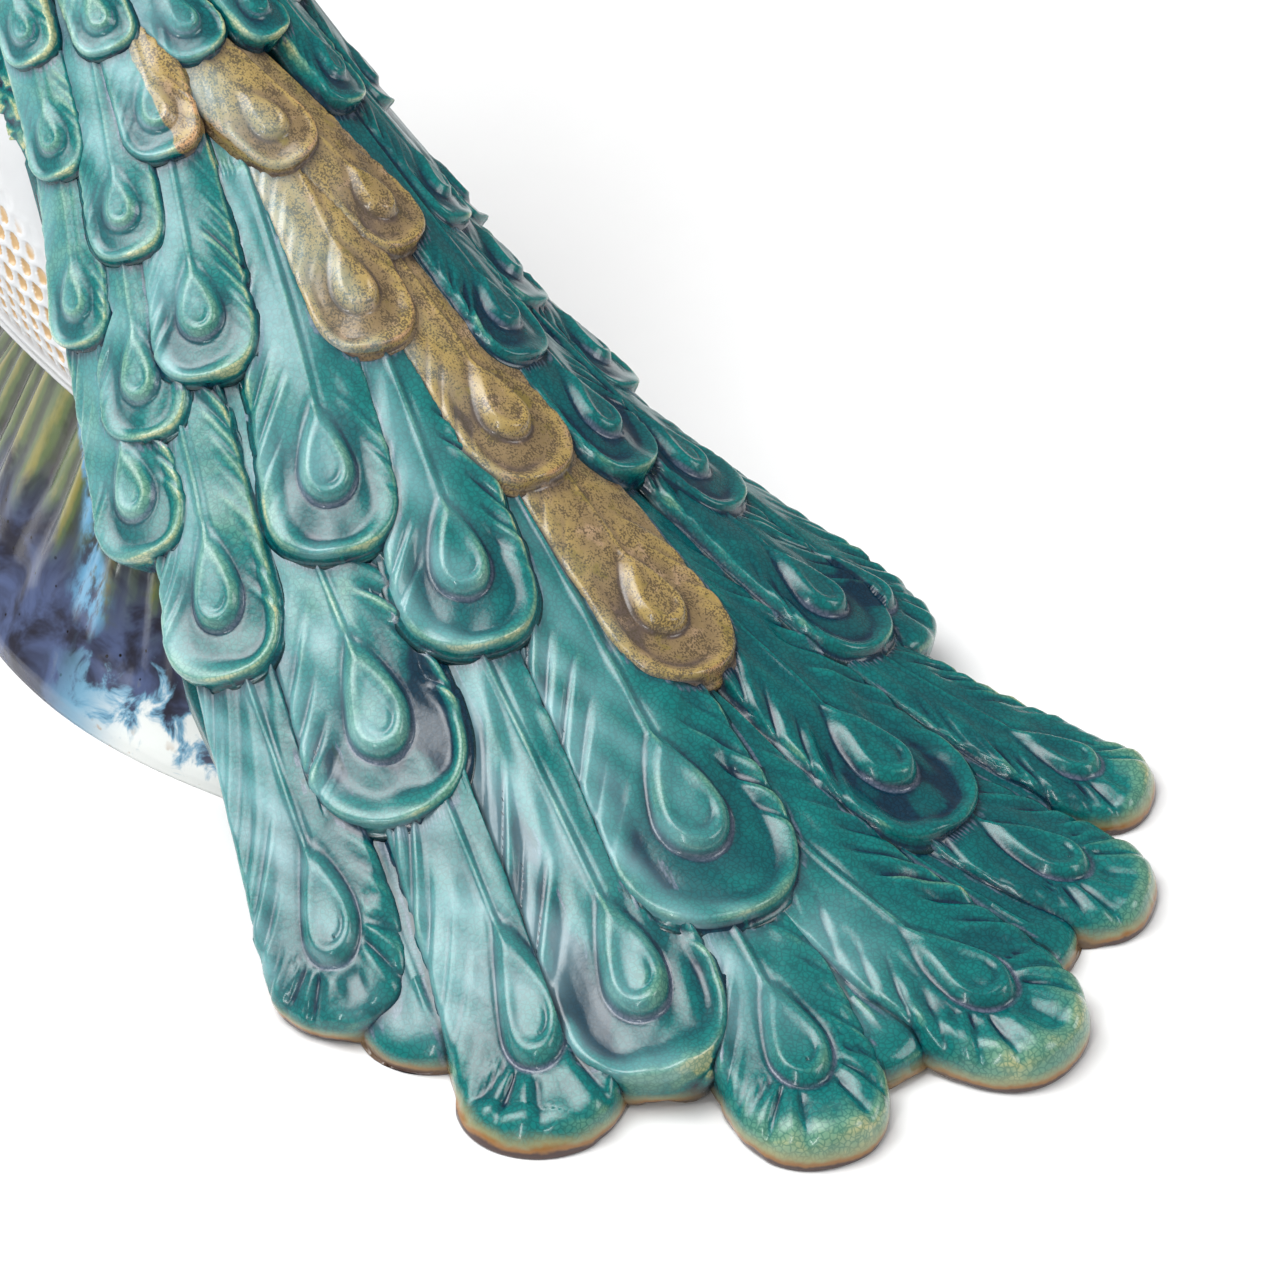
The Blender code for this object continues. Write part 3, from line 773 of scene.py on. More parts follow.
def bird_body():
    centres, halves, head, face = bird_line()
    centres, halves, run = even_line(centres[1:], halves[1:], 270, 11)
    out, up = ring_axes(centres)
    count = 140
    angle = np.linspace(0, 2 * pi, count, endpoint=False)[None, :]
    mean = np.sqrt(halves[:, 0] * halves[:, 1])
    scale_rows = np.cumsum(np.gradient(run) / (0.13 * mean + 0.0012))
    scale_rows = (scale_rows[-1] - scale_rows)[:, None] + 0 * angle
    number = 26
    lift = scale_height(scale_rows, angle / (2 * pi) * number + 0 * scale_rows)
    from_head = np.linalg.norm(centres - head, axis=1)[:, None]
    plain = smooth(from_head, 0.8 * HEAD_RADIUS, 1.5 * HEAD_RADIUS)
    depth = 0.035 * mean[:, None] * plain
    relief = (lift - 1) * depth
    small, large = simple_hollows(relief)
    reach_out = (halves[:, :1] + relief) * np.cos(angle)
    reach_up = (halves[:, 1:] + relief) * np.sin(angle)
    rings = centres[:, None] + out[:, None] * reach_out[..., None] + up[:, None] * reach_up[..., None]
    height = rings[..., 2]
    tone = smooth(height, 0.16, 0.33)
    colour = four(0.5 + small / (1.2 * MM), 0.5 + large / (3 * MM), 0, 0.75 - 0.5 * tone)
    toward = (rings - head) @ face
    cheek = np.abs((rings - head) @ np.array((-face[1], face[0], 0)))
    low = (rings - head) @ np.array((0, 0, 1))
    oval = np.hypot((toward - 0.45 * HEAD_RADIUS) / 0.75, low / 0.62) / HEAD_RADIUS
    pale = smooth(oval, 1.05, 0.75) * smooth(cheek, 0.3 * HEAD_RADIUS, 0.6 * HEAD_RADIUS)
    marks = four(0, pale, 0, 0)
    return closed_rings("bird_body", rings, {"glaze": colour, "marks": marks})


def beak():
    centres, halves, head, face = bird_line()
    brow = centres[-1]
    line = np.array([brow - face * 0.004, brow, brow + face * 0.5 * BEAK_LENGTH + np.array((0, 0, 0.0005)),
                     brow + face * 0.85 * BEAK_LENGTH - np.array((0, 0, 0.4 * BEAK_DROP)),
                     brow + face * BEAK_LENGTH - np.array((0, 0, BEAK_DROP))])
    sizes = np.array([(0.5, 0.5), (0.46, 0.5), (0.3, 0.32), (0.17, 0.18), (0.05, 0.05)]) * HEAD_RADIUS
    centres, halves, run = even_line(line, sizes, 60, 3)
    out, up = ring_axes(centres)
    angle = np.linspace(0, 2 * pi, 48, endpoint=False)[None, :]
    slit = 1 - 0.1 * bump(np.sin(angle), -0.15, 0.12) * smooth(run, 0.003, 0.006)[:, None]
    rings = centres[:, None] + out[:, None] * (halves[:, :1] * np.cos(angle) * slit)[..., None]
    rings = rings + up[:, None] * (halves[:, 1:] * np.sin(angle) * slit)[..., None]
    shape = rings.shape[:2]
    slit_colour = 0.5 + 2.5 * (1 - slit) + 0 * rings[..., 0]
    colour = four(slit_colour, 0.5, 0, 0.5)
    return closed_rings("beak", rings, {"glaze": colour, "marks": four(np.zeros(shape), 0, 0, 1)})


def bird_eye(side):
    centres, halves, head, face = bird_line()
    across = np.array((-face[1], face[0], 0))
    middle = head + face * 0.62 * HEAD_RADIUS + across * side * 0.8 * HEAD_RADIUS
    middle = middle + np.array((0, 0, 0.33 * HEAD_RADIUS))
    bpy.ops.mesh.primitive_uv_sphere_add(segments=32, ring_count=20, radius=0.0026, location=middle)
    item = bpy.context.object
    bpy.ops.object.transform_apply(location=True, rotation=True, scale=True)
    bpy.ops.object.shade_smooth()
    item.name = "bird_eye_left" if side < 0 else "bird_eye_right"
    return item


def head_crest():
    """The fan on the head: plume ends round its far edge, and a rib up each plume."""
    centres, halves, head, face = bird_line()
    up = np.array((0, 0, 1))
    side = np.cross(face, up)
    foot = head - face * (0.25 * HEAD_RADIUS)
    share = np.linspace(0, 1, 161)[None, :]
    rise = np.linspace(0, 1, 40)[:, None]
    lean = CREST_SPREAD * (0.5 - share)
    lobe = np.abs(np.sin(pi * CREST_PLUMES * share)) ** 0.6
    full = HEAD_RADIUS + CREST_HEIGHT * (0.8 + 0.2 * lobe) - 0.0006
    reach = full * (0.12 + 0.88 * rise)
    ways = (np.cos(lean)[..., None] * up + (np.sin(lean) - 0.25)[..., None] * face)
    middle = foot + ways * reach[..., None]
    rib = bump((share * CREST_PLUMES) % 1, 0.5, 0.1)
    seam = bump((share * CREST_PLUMES + 0.5) % 1, 0.5, 0.12)
    thick = CREST_THICKNESS * (0.32 + 0.12 * rib - 0.12 * seam * rise + 0.05 * np.sin(24 * rise + 6 * lobe))
    thick = thick * np.sqrt(np.clip(1 - rise ** 6, 0.02, 1)) * (1 - 0.3 * rise)
    front = middle + side * thick[..., None]
    back = middle - side * thick[..., None]
    rings = np.concatenate((front, back[:, ::-1]), axis=1)
    depth = np.concatenate((seam - rib, (seam - rib)[:, ::-1]), axis=1)
    hollow_value = 0.5 + 0.3 * depth + 0 * rings[..., 0]
    colour = four(hollow_value, 0.5, 0, 0.4)
    return closed_rings("head_crest", rings, {"glaze": colour, "marks": four(0 * hollow_value, 0, 0, 1)})


def wing_point(side, u, v, depth):
    """u from the shoulder to the tip, v across from the lower edge, depth in from the face."""
    breadth = WING_HALF_BREADTH * np.sin(pi * np.minimum(0.2 + 0.76 * u, 1)) ** 0.75
    x = RUMP_X - SHOULDER_REACH + 0.84 * WING_LENGTH * u + breadth * v * sin(WING_DROOP)
    z = float(crest(0)) - SHOULDER_DROP - WING_FALL * u ** 1.15 + breadth * v * cos(WING_DROOP)
    wave = np.sin(pi * np.clip(u, 0, 1) ** 0.8)
    swell = np.where(u < 0.2, 2.5 * (wave - 6 * (0.2 - u)), wave)
    tuck = 0.016 * np.maximum(v, 0) ** 1.4 + 0.004 * np.minimum(v, 0) ** 2
    bulge = WING_STAND_OFF * (0.98 + 0.16 * swell) - tuck
    return points_of(x, BODY_Y + side * (bulge - depth), z)


def wing_relief(u, v):
    """Depth of the lattice pits and of the long feathers along the lower edge, in metres."""
    breadth = np.sin(pi * np.minimum(0.2 + 0.76 * u, 1)) ** 0.75
    low = (v + 1) * breadth * WING_HALF_BREADTH
    along = u * WING_LENGTH
    bands = smooth(low, PLAIN_BAND + MM, PLAIN_BAND - 0.5 * MM)
    seam = bump(low, PLAIN_BAND / 2, 0.7 * MM) + bump(low, PLAIN_BAND, 0.8 * MM)
    first = (low - PLAIN_BAND) / PIT_ROW
    second = (along + low) / PIT_PITCH
    pit_row = np.abs(first - np.floor(first) - 0.5) * 2
    slant = second + 0.5 * (np.floor(first) % 2)
    pit_place = np.abs(slant - np.floor(slant) - 0.5) * 2
    pit = smooth(np.hypot(pit_row * 0.8, pit_place * 1.25), 1, 0.62) * smooth(pit_row, 0.98, 0.8)
    area = (1 - bands) * smooth(v, 0.75, 0.25) * smooth(u, 0.12, 0.25) * smooth(u, 1.02, 0.9)
    pit = pit * area
    ridge = bump(pit_row, 1, 0.35) * area
    depth = 1.3 * MM * pit - 0.6 * MM * ridge + 0.9 * MM * seam * smooth(u, 0.15, 0.3)
    depth = depth - 0.8 * MM * bands * (1 - bump(low, PLAIN_BAND / 2, 2 * MM))
    shoulder = smooth(u, 0.3, 0.22) * (1 - bands) * smooth(np.abs(v), 0.98, 0.9)
    depth = depth - 1.6 * MM * shoulder * (scale_height(u / 0.045 + 0 * v, low / (9 * MM)) - 0.5)
    return depth, pit, seam


def wing(side):
    u = np.linspace(0, 1, 250)[:, None]
    v_outer = np.linspace(-1, 1, 112)[None, :]
    depth, pit, seam = wing_relief(u, v_outer)
    rim = 1 - np.sqrt(np.clip(1 - np.abs(v_outer) ** 14, 0, 1))
    outer = wing_point(side, u, v_outer, depth + 1.2 * MM + 2.5 * MM * rim)
    v_inner = np.linspace(0.94, -0.94, 24)[None, :]
    inner_depth = np.interp(v_inner, (-0.92, 0, 0.92), (0.4, 1.6, 1)) * WING_THICKNESS
    blank = 0 * u * v_inner
    inner = wing_point(side, u, v_inner, blank + inner_depth)
    rings = np.concatenate((outer, inner), axis=1)
    pits = np.concatenate((pit, blank), axis=1)
    seams = np.concatenate((seam * smooth(u, 0.15, 0.3), blank), axis=1)
    colour = four(0.5 + 0.4 * seams, 0.5, 0, 0.5)
    name = "wing_left" if side < 0 else "wing_right"
    return closed_rings(name, rings, {"glaze": colour, "marks": four(pits, seams, 0, 1)})


def rock():
    """The mound: a flared smooth foot, and upright locks round its upper half."""
    levels, turns = 90, 500
    share_z = np.linspace(0, 1, levels)[:, None]
    angle = np.linspace(0, 2 * pi, turns, endpoint=False)[None, :]
    share = np.interp(share_z, (0, 0.06, 0.21, 0.43, 0.7, 1), (1, 1, 0.88, 0.75, 0.61, 0.46))
    ribs = np.interp(share_z, (0, 0.12, 0.21, 0.43, 0.7, 1), (0, 0.2, 0.6, 1, 1, 0.5))
    uneven = angle + 0.05 * np.sin(5 * angle + 1) + 0.05 * np.sin(9 * angle) * share_z
    wave_count = LOCKS * uneven + 1.2 * np.sin(3 * angle) * share_z
    lock = 1 - 1.7 * np.abs(np.sin(wave_count / 2)) ** 1.5
    strand_count = 1.5 * wave_count + 0.9 * np.sin(7 * angle + 4 * share_z) + 1.1 * share_z
    strand = 1 - 1.8 * np.abs(np.sin(strand_count)) ** 2
    rib = LOCK_DEPTH * ribs * (0.55 * lock - 0.2 + 0.26 * strand * ribs)
    wave = 0.03 * (1 - ribs) * np.cos(5 * angle + 1)
    scale = share * (1 + rib) * (1 + wave)
    x = ROCK_X + ROCK_HALF_LENGTH * scale * np.cos(angle)
    y = BODY_Y + ROCK_HALF_WIDTH * scale * np.sin(angle)
    room = crest(np.maximum(x - RUMP_X, 0) / TRAIN_LENGTH) - 2.5 * FEATHER_DEPTH
    z = share_z * np.minimum(room, ROCK_HEIGHT)
    rings = points_of(x, y, z)
    crest_share = np.clip(0.5 + 0.5 * (0.7 * strand + 0.3 * lock), 0, 1) * ribs
    colour = four(0.5, 0.5, crest_share, share_z)
    line = 0.574 * x + 0.819 * y + 0.0965 + 0.0016 * np.sin(z / 0.009) + 0.0008 * np.sin(z / 0.0035)
    width = 1.5 * MM + 5 * MM * smooth(z, 0.06, 0.03)
    run = bump(line, 0, width) * smooth(z, 0.018, 0.032) * (y < BODY_Y)
    return closed_rings("rock", rings, {"glaze": colour, "marks": four(0 * x, run, 0, 1)})


def leg_line(side):
    hip = np.array((RUMP_X - HIP_REACH, BODY_Y + side * LEG_SPREAD, 0.69 * float(crest(0))))
    knee = hip + np.array((-0.118, side * 0.04, -0.51)) * LEG_HEIGHT
    heel = knee + np.array((-0.059, side * 0.04, -0.49)) * LEG_HEIGHT
    return hip, knee, heel


def limb(name, centres, halves, sides, ring_count, scute, feathered):
    centres, halves, run = even_line(np.array(centres), np.array(halves), ring_count, 4)
    out, up = ring_axes(centres)
    angle = np.linspace(0, 2 * pi, sides, endpoint=False)[None, :]
    part = (run[:, None] / scute) % 1
    relief = -0.25 * MM * bump(part, 0.5, 0.12) + 0 * angle
    if feathered:
        total = run[-1]
        lift = scale_height(run[:, None] / 0.008 + 0 * angle, angle / (2 * pi) * 14 + 0 * run[:, None])
        share = smooth(run, 0.62 * total, 0.5 * total)[:, None]
        relief = relief * (1 - share) + (lift - 1) * 1.2 * MM * share
    small, large = simple_hollows(relief)
    rings = centres[:, None] + out[:, None] * ((halves[:, :1] + relief) * np.cos(angle))[..., None]
    rings = rings + up[:, None] * ((halves[:, 1:] + relief) * np.sin(angle))[..., None]
    thigh = smooth(run, 0.62 * run[-1], 0.5 * run[-1])[:, None] if feathered else 0 * run[:, None]
    colour = four(0.5 + small / (0.8 * MM), 0.5 + large / (3 * MM), 0, 0.4)
    return closed_rings(name, rings, {"glaze": colour, "marks": four(thigh + 0 * small, 0, 0, 1)})


def legs_and_toes():
    pieces = []
    for side in (-1, 1):
        hip, knee, heel = leg_line(side)
        shares = ((3, 4.5), (2.6, 3.6), (1.1, 1.2), (1, 1))
        halves = [(LEG_RADIUS * out, LEG_RADIUS * up) for out, up in shares]
        line = [hip, (hip + knee) / 2, knee, heel]
        pieces.append(limb("leg", line, halves, 48, 130, 0.004, True))
        foot = heel + np.array((0, 0, 0.6 * LEG_RADIUS))
        for spread in TOE_ANGLES:
            turn = pi - side * spread
            way = np.array((cos(turn), sin(turn), -0.62)) * TOE_LENGTH
            sizes = [(LEG_RADIUS * share, LEG_RADIUS * share) for share in (0.75, 0.8, 0.7, 0.35)]
            line = [foot - way * 0.25, foot + way * 0.3, foot + way * 0.7, foot + way]
            pieces.append(limb("toe", line, sizes, 22, 48, 0.0035, False))
    return join_pieces(pieces, "legs_and_toes")


def fill_inputs(tree, node, inputs):
    for key, value in inputs.items():
        if isinstance(value, bpy.types.NodeSocket):
            tree.links.new(value, node.inputs[key])
        else:
            node.inputs[key].default_value = value


def add_node(tree, kind, inputs=None, **settings):
    node = tree.nodes.new(kind)
    for key, value in settings.items():
        setattr(node, key, value)
    fill_inputs(tree, node, inputs or {})
    return node


def calculate(tree, operation, first, second=0.0, third=0.0, clamp=False):
    inputs = {0: first, 1: second}
    if operation == "MULTIPLY_ADD":
        inputs[2] = third
    return add_node(tree, "ShaderNodeMath", inputs, operation=operation, use_clamp=clamp).outputs[0]


def times(tree, first, second):
    return calculate(tree, "MULTIPLY", first, second)


def scaled(tree, value, by, added):
    """The value times one number or socket, plus another."""
    return calculate(tree, "MULTIPLY_ADD", value, by, added)


def plus(tree, first, second):
    return calculate(tree, "ADD", first, second)


def step_between(tree, value, low, high):
    """0 below low and 1 above high, with soft ends; low may be above high."""
    flipped = low > high
    ends = {"From Min": min(low, high), "From Max": max(low, high),
            "To Min": 1.0 if flipped else 0.0, "To Max": 0.0 if flipped else 1.0, "Value": value}
    node = add_node(tree, "ShaderNodeMapRange", ends, interpolation_type="SMOOTHSTEP")
    return node.outputs["Result"]


def blend(tree, share, first, second):
    node = add_node(tree, "ShaderNodeMix", {0: share, 6: first, 7: second}, data_type="RGBA")
    return node.outputs[2]


def noise(tree, place, scale, detail=3.0, roughness=0.55, distortion=0.0):
    inputs = {"Vector": place, "Scale": scale, "Detail": detail, "Roughness": roughness,
              "Distortion": distortion}
    return add_node(tree, "ShaderNodeTexNoise", inputs).outputs["Fac"]


def new_group(name, inputs, outputs):
    group = bpy.data.node_groups.new(name, "ShaderNodeTree")
    for socket, kind in inputs:
        group.interface.new_socket(socket, in_out="INPUT", socket_type=kind)
    for socket, kind in outputs:
        group.interface.new_socket(socket, in_out="OUTPUT", socket_type=kind)
    start = group.nodes.new("NodeGroupInput")
    end = group.nodes.new("NodeGroupOutput")
    return group, start.outputs, end.inputs


def make_crackle_group():
    """The glaze's fine net of cracks, as a mask of lines."""
    group, given, result = new_group(
        "glaze_crackle", [("Place", "NodeSocketVector"), ("Cell", "NodeSocketFloat")],
        [("Lines", "NodeSocketFloat")])
    scale = calculate(group, "DIVIDE", 1.0, given["Cell"])
    warp = add_node(group, "ShaderNodeTexNoise", {"Vector": given["Place"], "Scale": 400.0, "Detail": 1.0})
    offset = add_node(group, "ShaderNodeVectorMath", {0: warp.outputs["Color"], 1: (0.5, 0.5, 0.5)},
                      operation="SUBTRACT")
    offset = add_node(group, "ShaderNodeVectorMath", {0: offset.outputs[0], "Scale": 0.0016},
                      operation="SCALE")
    place = add_node(group, "ShaderNodeVectorMath", {0: given["Place"], 1: offset.outputs[0]},
                     operation="ADD").outputs[0]
    cells = add_node(group, "ShaderNodeTexVoronoi", {"Vector": place, "Scale": scale},
                     feature="DISTANCE_TO_EDGE")
    lines = step_between(group, cells.outputs["Distance"], 0.2, 0.0)
    group.links.new(lines, result["Lines"])
    return group


POOL_COLOURS = ("Thin", "Light", "Body", "Deep", "Dark")


def make_pool_group():
    """The colour of a glaze by its depth: thin on ridges, dark where it pools."""
    sockets = [("Depth", "NodeSocketFloat")] + [(name, "NodeSocketColor") for name in POOL_COLOURS]
    group, given, result = new_group("glaze_pooling", sockets, [("Color", "NodeSocketColor")])
    colour = given["Thin"]
    for name, low, high in (("Light", 0.02, 0.3), ("Body", 0.28, 0.54), ("Deep", 0.54, 0.8),
                            ("Dark", 0.84, 1.1)):
        colour = blend(group, step_between(group, given["Depth"], low, high), colour, given[name])
    group.links.new(colour, result["Color"])
    return group


def make_speckle_group():
    """Dense iron specks of uneven size, as a mask."""
    group, given, result = new_group(
        "iron_specks", [("Place", "NodeSocketVector"), ("Amount", "NodeSocketFloat")],
        [("Specks", "NodeSocketFloat")])
    fine = noise(group, given["Place"], 1500.0, 1.0, 0.6)
    broad = noise(group, given["Place"], 200.0, 2.0, 0.6)
    level = scaled(group, broad, 0.5, times(group, fine, 0.75))
    level = plus(group, level, given["Amount"])
    group.links.new(step_between(group, level, 0.7, 0.82), result["Specks"])
    return group


groups = {}


def grouped(tree, name, inputs, output):
    node = add_node(tree, "ShaderNodeGroup", None, node_tree=groups[name])
    fill_inputs(tree, node, inputs)
    return node.outputs[output]


def new_material(name, roughness):
    material = bpy.data.materials.new(name)
    material.use_nodes = True
    tree = material.node_tree
    shader = tree.nodes["Principled BSDF"]
    shader.inputs["Roughness"].default_value = roughness
    place = add_node(tree, "ShaderNodeTexCoord").outputs["Object"]
    return material, tree, shader, place


def read_layer(tree, name):
    layer = add_node(tree, "ShaderNodeAttribute", None, attribute_name=name)
    parts = add_node(tree, "ShaderNodeSeparateColor", {0: layer.outputs["Color"]})
    return parts.outputs[0], parts.outputs[1], parts.outputs[2], layer.outputs["Alpha"]


def wavy_surface(tree, shader, height, strength, distance):
    inputs = {"Strength": strength, "Distance": distance, "Height": height}
    surface = add_node(tree, "ShaderNodeBump", inputs)
    tree.links.new(surface.outputs["Normal"], shader.inputs["Normal"])


def glaze_depth(tree, small, large, tone, place, small_gain, large_gain):
    depth = scaled(tree, small, small_gain, 0.54 - 0.5 * small_gain - 0.5 * large_gain)
    depth = scaled(tree, large, large_gain, depth)
    cloud = noise(tree, place, 45.0, 7.0, 0.66, 0.5)
    depth = scaled(tree, cloud, 0.6, plus(tree, depth, -0.3))
    tone = scaled(tree, tone, -0.35, 0.175)
    return plus(tree, depth, tone)


# Each glaze from where it is thin, on the ridges, to where it is deepest.
TEAL_POOLS = ((0.46, 0.47, 0.25, 1), (0.12, 0.29, 0.2, 1), (0.001, 0.165, 0.155, 1),
              (0.0, 0.09, 0.1, 1), (0.001, 0.025, 0.05, 1))
GOLD_POOLS = ((0.56, 0.31, 0.14, 1), (0.42, 0.25, 0.1, 1), (0.37, 0.26, 0.085, 1),
              (0.24, 0.165, 0.08, 1), (0.1, 0.07, 0.055, 1))
LOCK_POOLS = ((0.4, 0.29, 0.09, 1), (0.22, 0.2, 0.06, 1), (0.085, 0.12, 0.045, 1),
              (0.045, 0.055, 0.035, 1), (0.025, 0.014, 0.022, 1))
HORN_POOLS = ((0.5, 0.42, 0.3, 1), (0.34, 0.28, 0.19, 1), (0.22, 0.18, 0.13, 1),
              (0.1, 0.08, 0.07, 1), (0.03, 0.025, 0.025, 1))
LAVENDER = (0.12, 0.14, 0.2, 1)
SEAM_TEAL = (0.001, 0.026, 0.03, 1)
# Pale cyan for the painted sheen, a painted reflection, on the feathers, and for the white cheek patch on
# the bird's head.
PALE_SHEEN_AND_CHEEK = (0.42, 0.7, 0.76, 1)


def pooled(tree, depth, colours):
    values = dict(zip(POOL_COLOURS, colours), Depth=depth)
    return grouped(tree, "glaze_pooling", values, "Color")


def teal_material():
    material, tree, shader, place = new_material("teal_glaze", 0.25)
    small, large, gold, tone = read_layer(tree, "glaze")
    bare, pale, pool, crease = read_layer(tree, "marks")
    depth = glaze_depth(tree, small, large, tone, place, 1.5, 1.5)
    colour = pooled(tree, depth, TEAL_POOLS)
    veil_noise = noise(tree, place, 70.0, 3.0, 0.6)
    veil = times(tree, step_between(tree, veil_noise, 0.3, 0.55), step_between(tree, pool, 0.25, 0.8))
    colour = blend(tree, times(tree, veil, 0.8), colour, LAVENDER)
    seam = step_between(tree, crease, 0.82, 1.0)
    seam = times(tree, seam, step_between(tree, veil_noise, 0.2, 0.5))
    colour = blend(tree, times(tree, seam, 0.85), colour, SEAM_TEAL)
    cracks = grouped(tree, "glaze_crackle", {"Place": place, "Cell": 0.0017}, "Lines")
    darker = blend(tree, 1.0, colour, (0.3, 0.52, 0.56, 1))
    tree.nodes[darker.node.name].blend_type = "MULTIPLY"
    colour = blend(tree, times(tree, cracks, 0.75), colour, darker)
    specks = grouped(tree, "iron_specks", {"Place": place, "Amount": 0.1}, "Specks")
    metal = pooled(tree, depth, GOLD_POOLS)
    mottle = noise(tree, place, 90.0, 4.0, 0.65)
    metal = blend(tree, step_between(tree, mottle, 0.55, 0.75), metal, (0.4, 0.27, 0.16, 1))
    metal = blend(tree, step_between(tree, mottle, 0.46, 0.3), metal, (0.2, 0.15, 0.04, 1))
    metal = blend(tree, times(tree, specks, 0.8), metal, (0.07, 0.05, 0.03, 1))
    edge = noise(tree, place, 120.0, 3.0, 0.6)
    golden = plus(tree, gold, scaled(tree, edge, 0.5, -0.25))
    golden = calculate(tree, "SUBTRACT", golden, scaled(tree, large, 1.2, -0.75))
    golden = step_between(tree, golden, 0.42, 0.6)
    golden = times(tree, golden, step_between(tree, gold, 0.05, 0.3))
    colour = blend(tree, golden, colour, metal)
    height = add_node(tree, "ShaderNodeSeparateXYZ", {0: place}).outputs["Z"]
    rough_edge = scaled(tree, edge, 0.004, plus(tree, height, -0.002))
    tan = times(tree, bare, step_between(tree, rough_edge, 0.008, 0.0035))
    colour = blend(tree, times(tree, tan, 0.75), colour, (0.36, 0.31, 0.14, 1))
    amber = times(tree, bare, step_between(tree, rough_edge, 0.0046, 0.0026))
    colour = blend(tree, amber, colour, (0.28, 0.13, 0.035, 1))
    brown = times(tree, bare, step_between(tree, rough_edge, 0.0026, 0.0014))
    colour = blend(tree, brown, colour, (0.06, 0.03, 0.025, 1))
    # Lays the pale cyan: painted sheen, a painted reflection, on the feathers, and the white cheek patch on
    # the bird's head.
    colour = blend(tree, pale, colour, PALE_SHEEN_AND_CHEEK)
    tree.links.new(colour, shader.inputs["Base Color"])
    shader.inputs["Specular IOR Level"].default_value = 0.42
    shader.inputs["Coat Weight"].default_value = 0.3
    shader.inputs["Coat Roughness"].default_value = 0.06
    ripple = noise(tree, place, 130.0, 3.0, 0.6)
    grit = times(tree, golden, noise(tree, place, 1200.0, 2.0, 0.6))
    level = scaled(tree, grit, 0.4, times(tree, ripple, 2.0))
    level = scaled(tree, cracks, -0.06, level)
    wavy_surface(tree, shader, level, 0.25, 0.0006)
    return material


def white_material():
    material, tree, shader, place = new_material("white_glaze", 0.09)
    pits, seams = read_layer(tree, "marks")[:2]
    cloud = noise(tree, place, 60.0, 3.0, 0.5)
    white = blend(tree, cloud, (0.52, 0.53, 0.54, 1), (0.66, 0.67, 0.68, 1))
    pit = plus(tree, pits, scaled(tree, cloud, 0.3, -0.15))
    colour = blend(tree, step_between(tree, pit, 0.35, 0.7), white, (0.52, 0.35, 0.18, 1))
    colour = blend(tree, times(tree, seams, 0.5), colour, (0.3, 0.27, 0.25, 1))
    tree.links.new(colour, shader.inputs["Base Color"])
    ripple = noise(tree, place, 120.0, 2.0, 0.5)
    wavy_surface(tree, shader, ripple, 0.2, 0.0006)
    return material


def rock_material():
    material, tree, shader, place = new_material("rock_glaze", 0.2)
    lock, level = read_layer(tree, "glaze")[2:]
    run = read_layer(tree, "marks")[1]
    stretched = add_node(tree, "ShaderNodeMapping", {"Vector": place, "Scale": (1, 1, 0.16)}).outputs[0]
    streak = noise(tree, stretched, 190.0, 4.0, 0.6)
    broad = noise(tree, place, 45.0, 4.0, 0.6, 0.6)
    depth = scaled(tree, lock, -0.85, 1.08)
    depth = scaled(tree, streak, 0.5, plus(tree, depth, -0.25))
    locks = pooled(tree, depth, LOCK_POOLS)
    dark = blend(tree, step_between(tree, broad, 0.35, 0.65), (0.018, 0.018, 0.03, 1),
                 (0.07, 0.095, 0.19, 1))
    dark = blend(tree, step_between(tree, broad, 0.62, 0.75), dark, (0.13, 0.15, 0.2, 1))
    lower = plus(tree, level, scaled(tree, broad, 0.7, -0.35))
    lower = step_between(tree, lower, 0.5, 0.26)
    colour = blend(tree, lower, locks, dark)
    wisps = times(tree, run, step_between(tree, streak, 0.3, 0.6))
    colour = blend(tree, step_between(tree, wisps, 0.1, 0.9), colour, (0.12, 0.3, 0.46, 1))
    holes = add_node(tree, "ShaderNodeTexVoronoi", {"Vector": place, "Scale": 160.0}).outputs["Distance"]
    pin = times(tree, step_between(tree, holes, 0.11, 0.06), lower)
    colour = blend(tree, pin, colour, (0.004, 0.003, 0.004, 1))
    split = add_node(tree, "ShaderNodeSeparateXYZ", {0: place})
    side = step_between(tree, split.outputs["X"], -0.04, 0.03)
    front = step_between(tree, split.outputs["Y"], -0.06, -0.085)
    splash = noise(tree, place, 75.0, 6.0, 0.6, 0.9)
    reach = scaled(tree, splash, 0.055, times(tree, split.outputs["Z"], -1.0))
    white = step_between(tree, reach, 0.006, 0.02)
    white = times(tree, white, times(tree, side, front))
    rim = step_between(tree, white, 0.02, 0.45)
    colour = blend(tree, rim, colour, (0.14, 0.3, 0.42, 1))
    colour = blend(tree, step_between(tree, white, 0.35, 0.9), colour, (0.68, 0.7, 0.68, 1))
    spots = step_between(tree, noise(tree, place, 130.0, 3.0, 0.6), 0.6, 0.68)
    spots = times(tree, spots, step_between(tree, split.outputs["Z"], 0.012, 0.004))
    colour = blend(tree, times(tree, spots, white), colour, (0.36, 0.24, 0.14, 1))
    tree.links.new(colour, shader.inputs["Base Color"])
    ripple = noise(tree, place, 90.0, 3.0, 0.5)
    wavy_surface(tree, shader, ripple, 0.3, 0.001)
    return material


def horn_material():
    material, tree, shader, place = new_material("horn_glaze", 0.18)
    small, large, gold, tone = read_layer(tree, "glaze")
    thigh = read_layer(tree, "marks")[0]
    depth = glaze_depth(tree, small, large, tone, place, 1.0, 1.0)
    colour = pooled(tree, depth, HORN_POOLS)
    plume = pooled(tree, depth, TEAL_POOLS)
    colour = blend(tree, thigh, colour, plume)
    tree.links.new(colour, shader.inputs["Base Color"])
    ripple = noise(tree, place, 200.0, 3.0, 0.5)
    wavy_surface(tree, shader, ripple, 0.3, 0.0006)
    return material


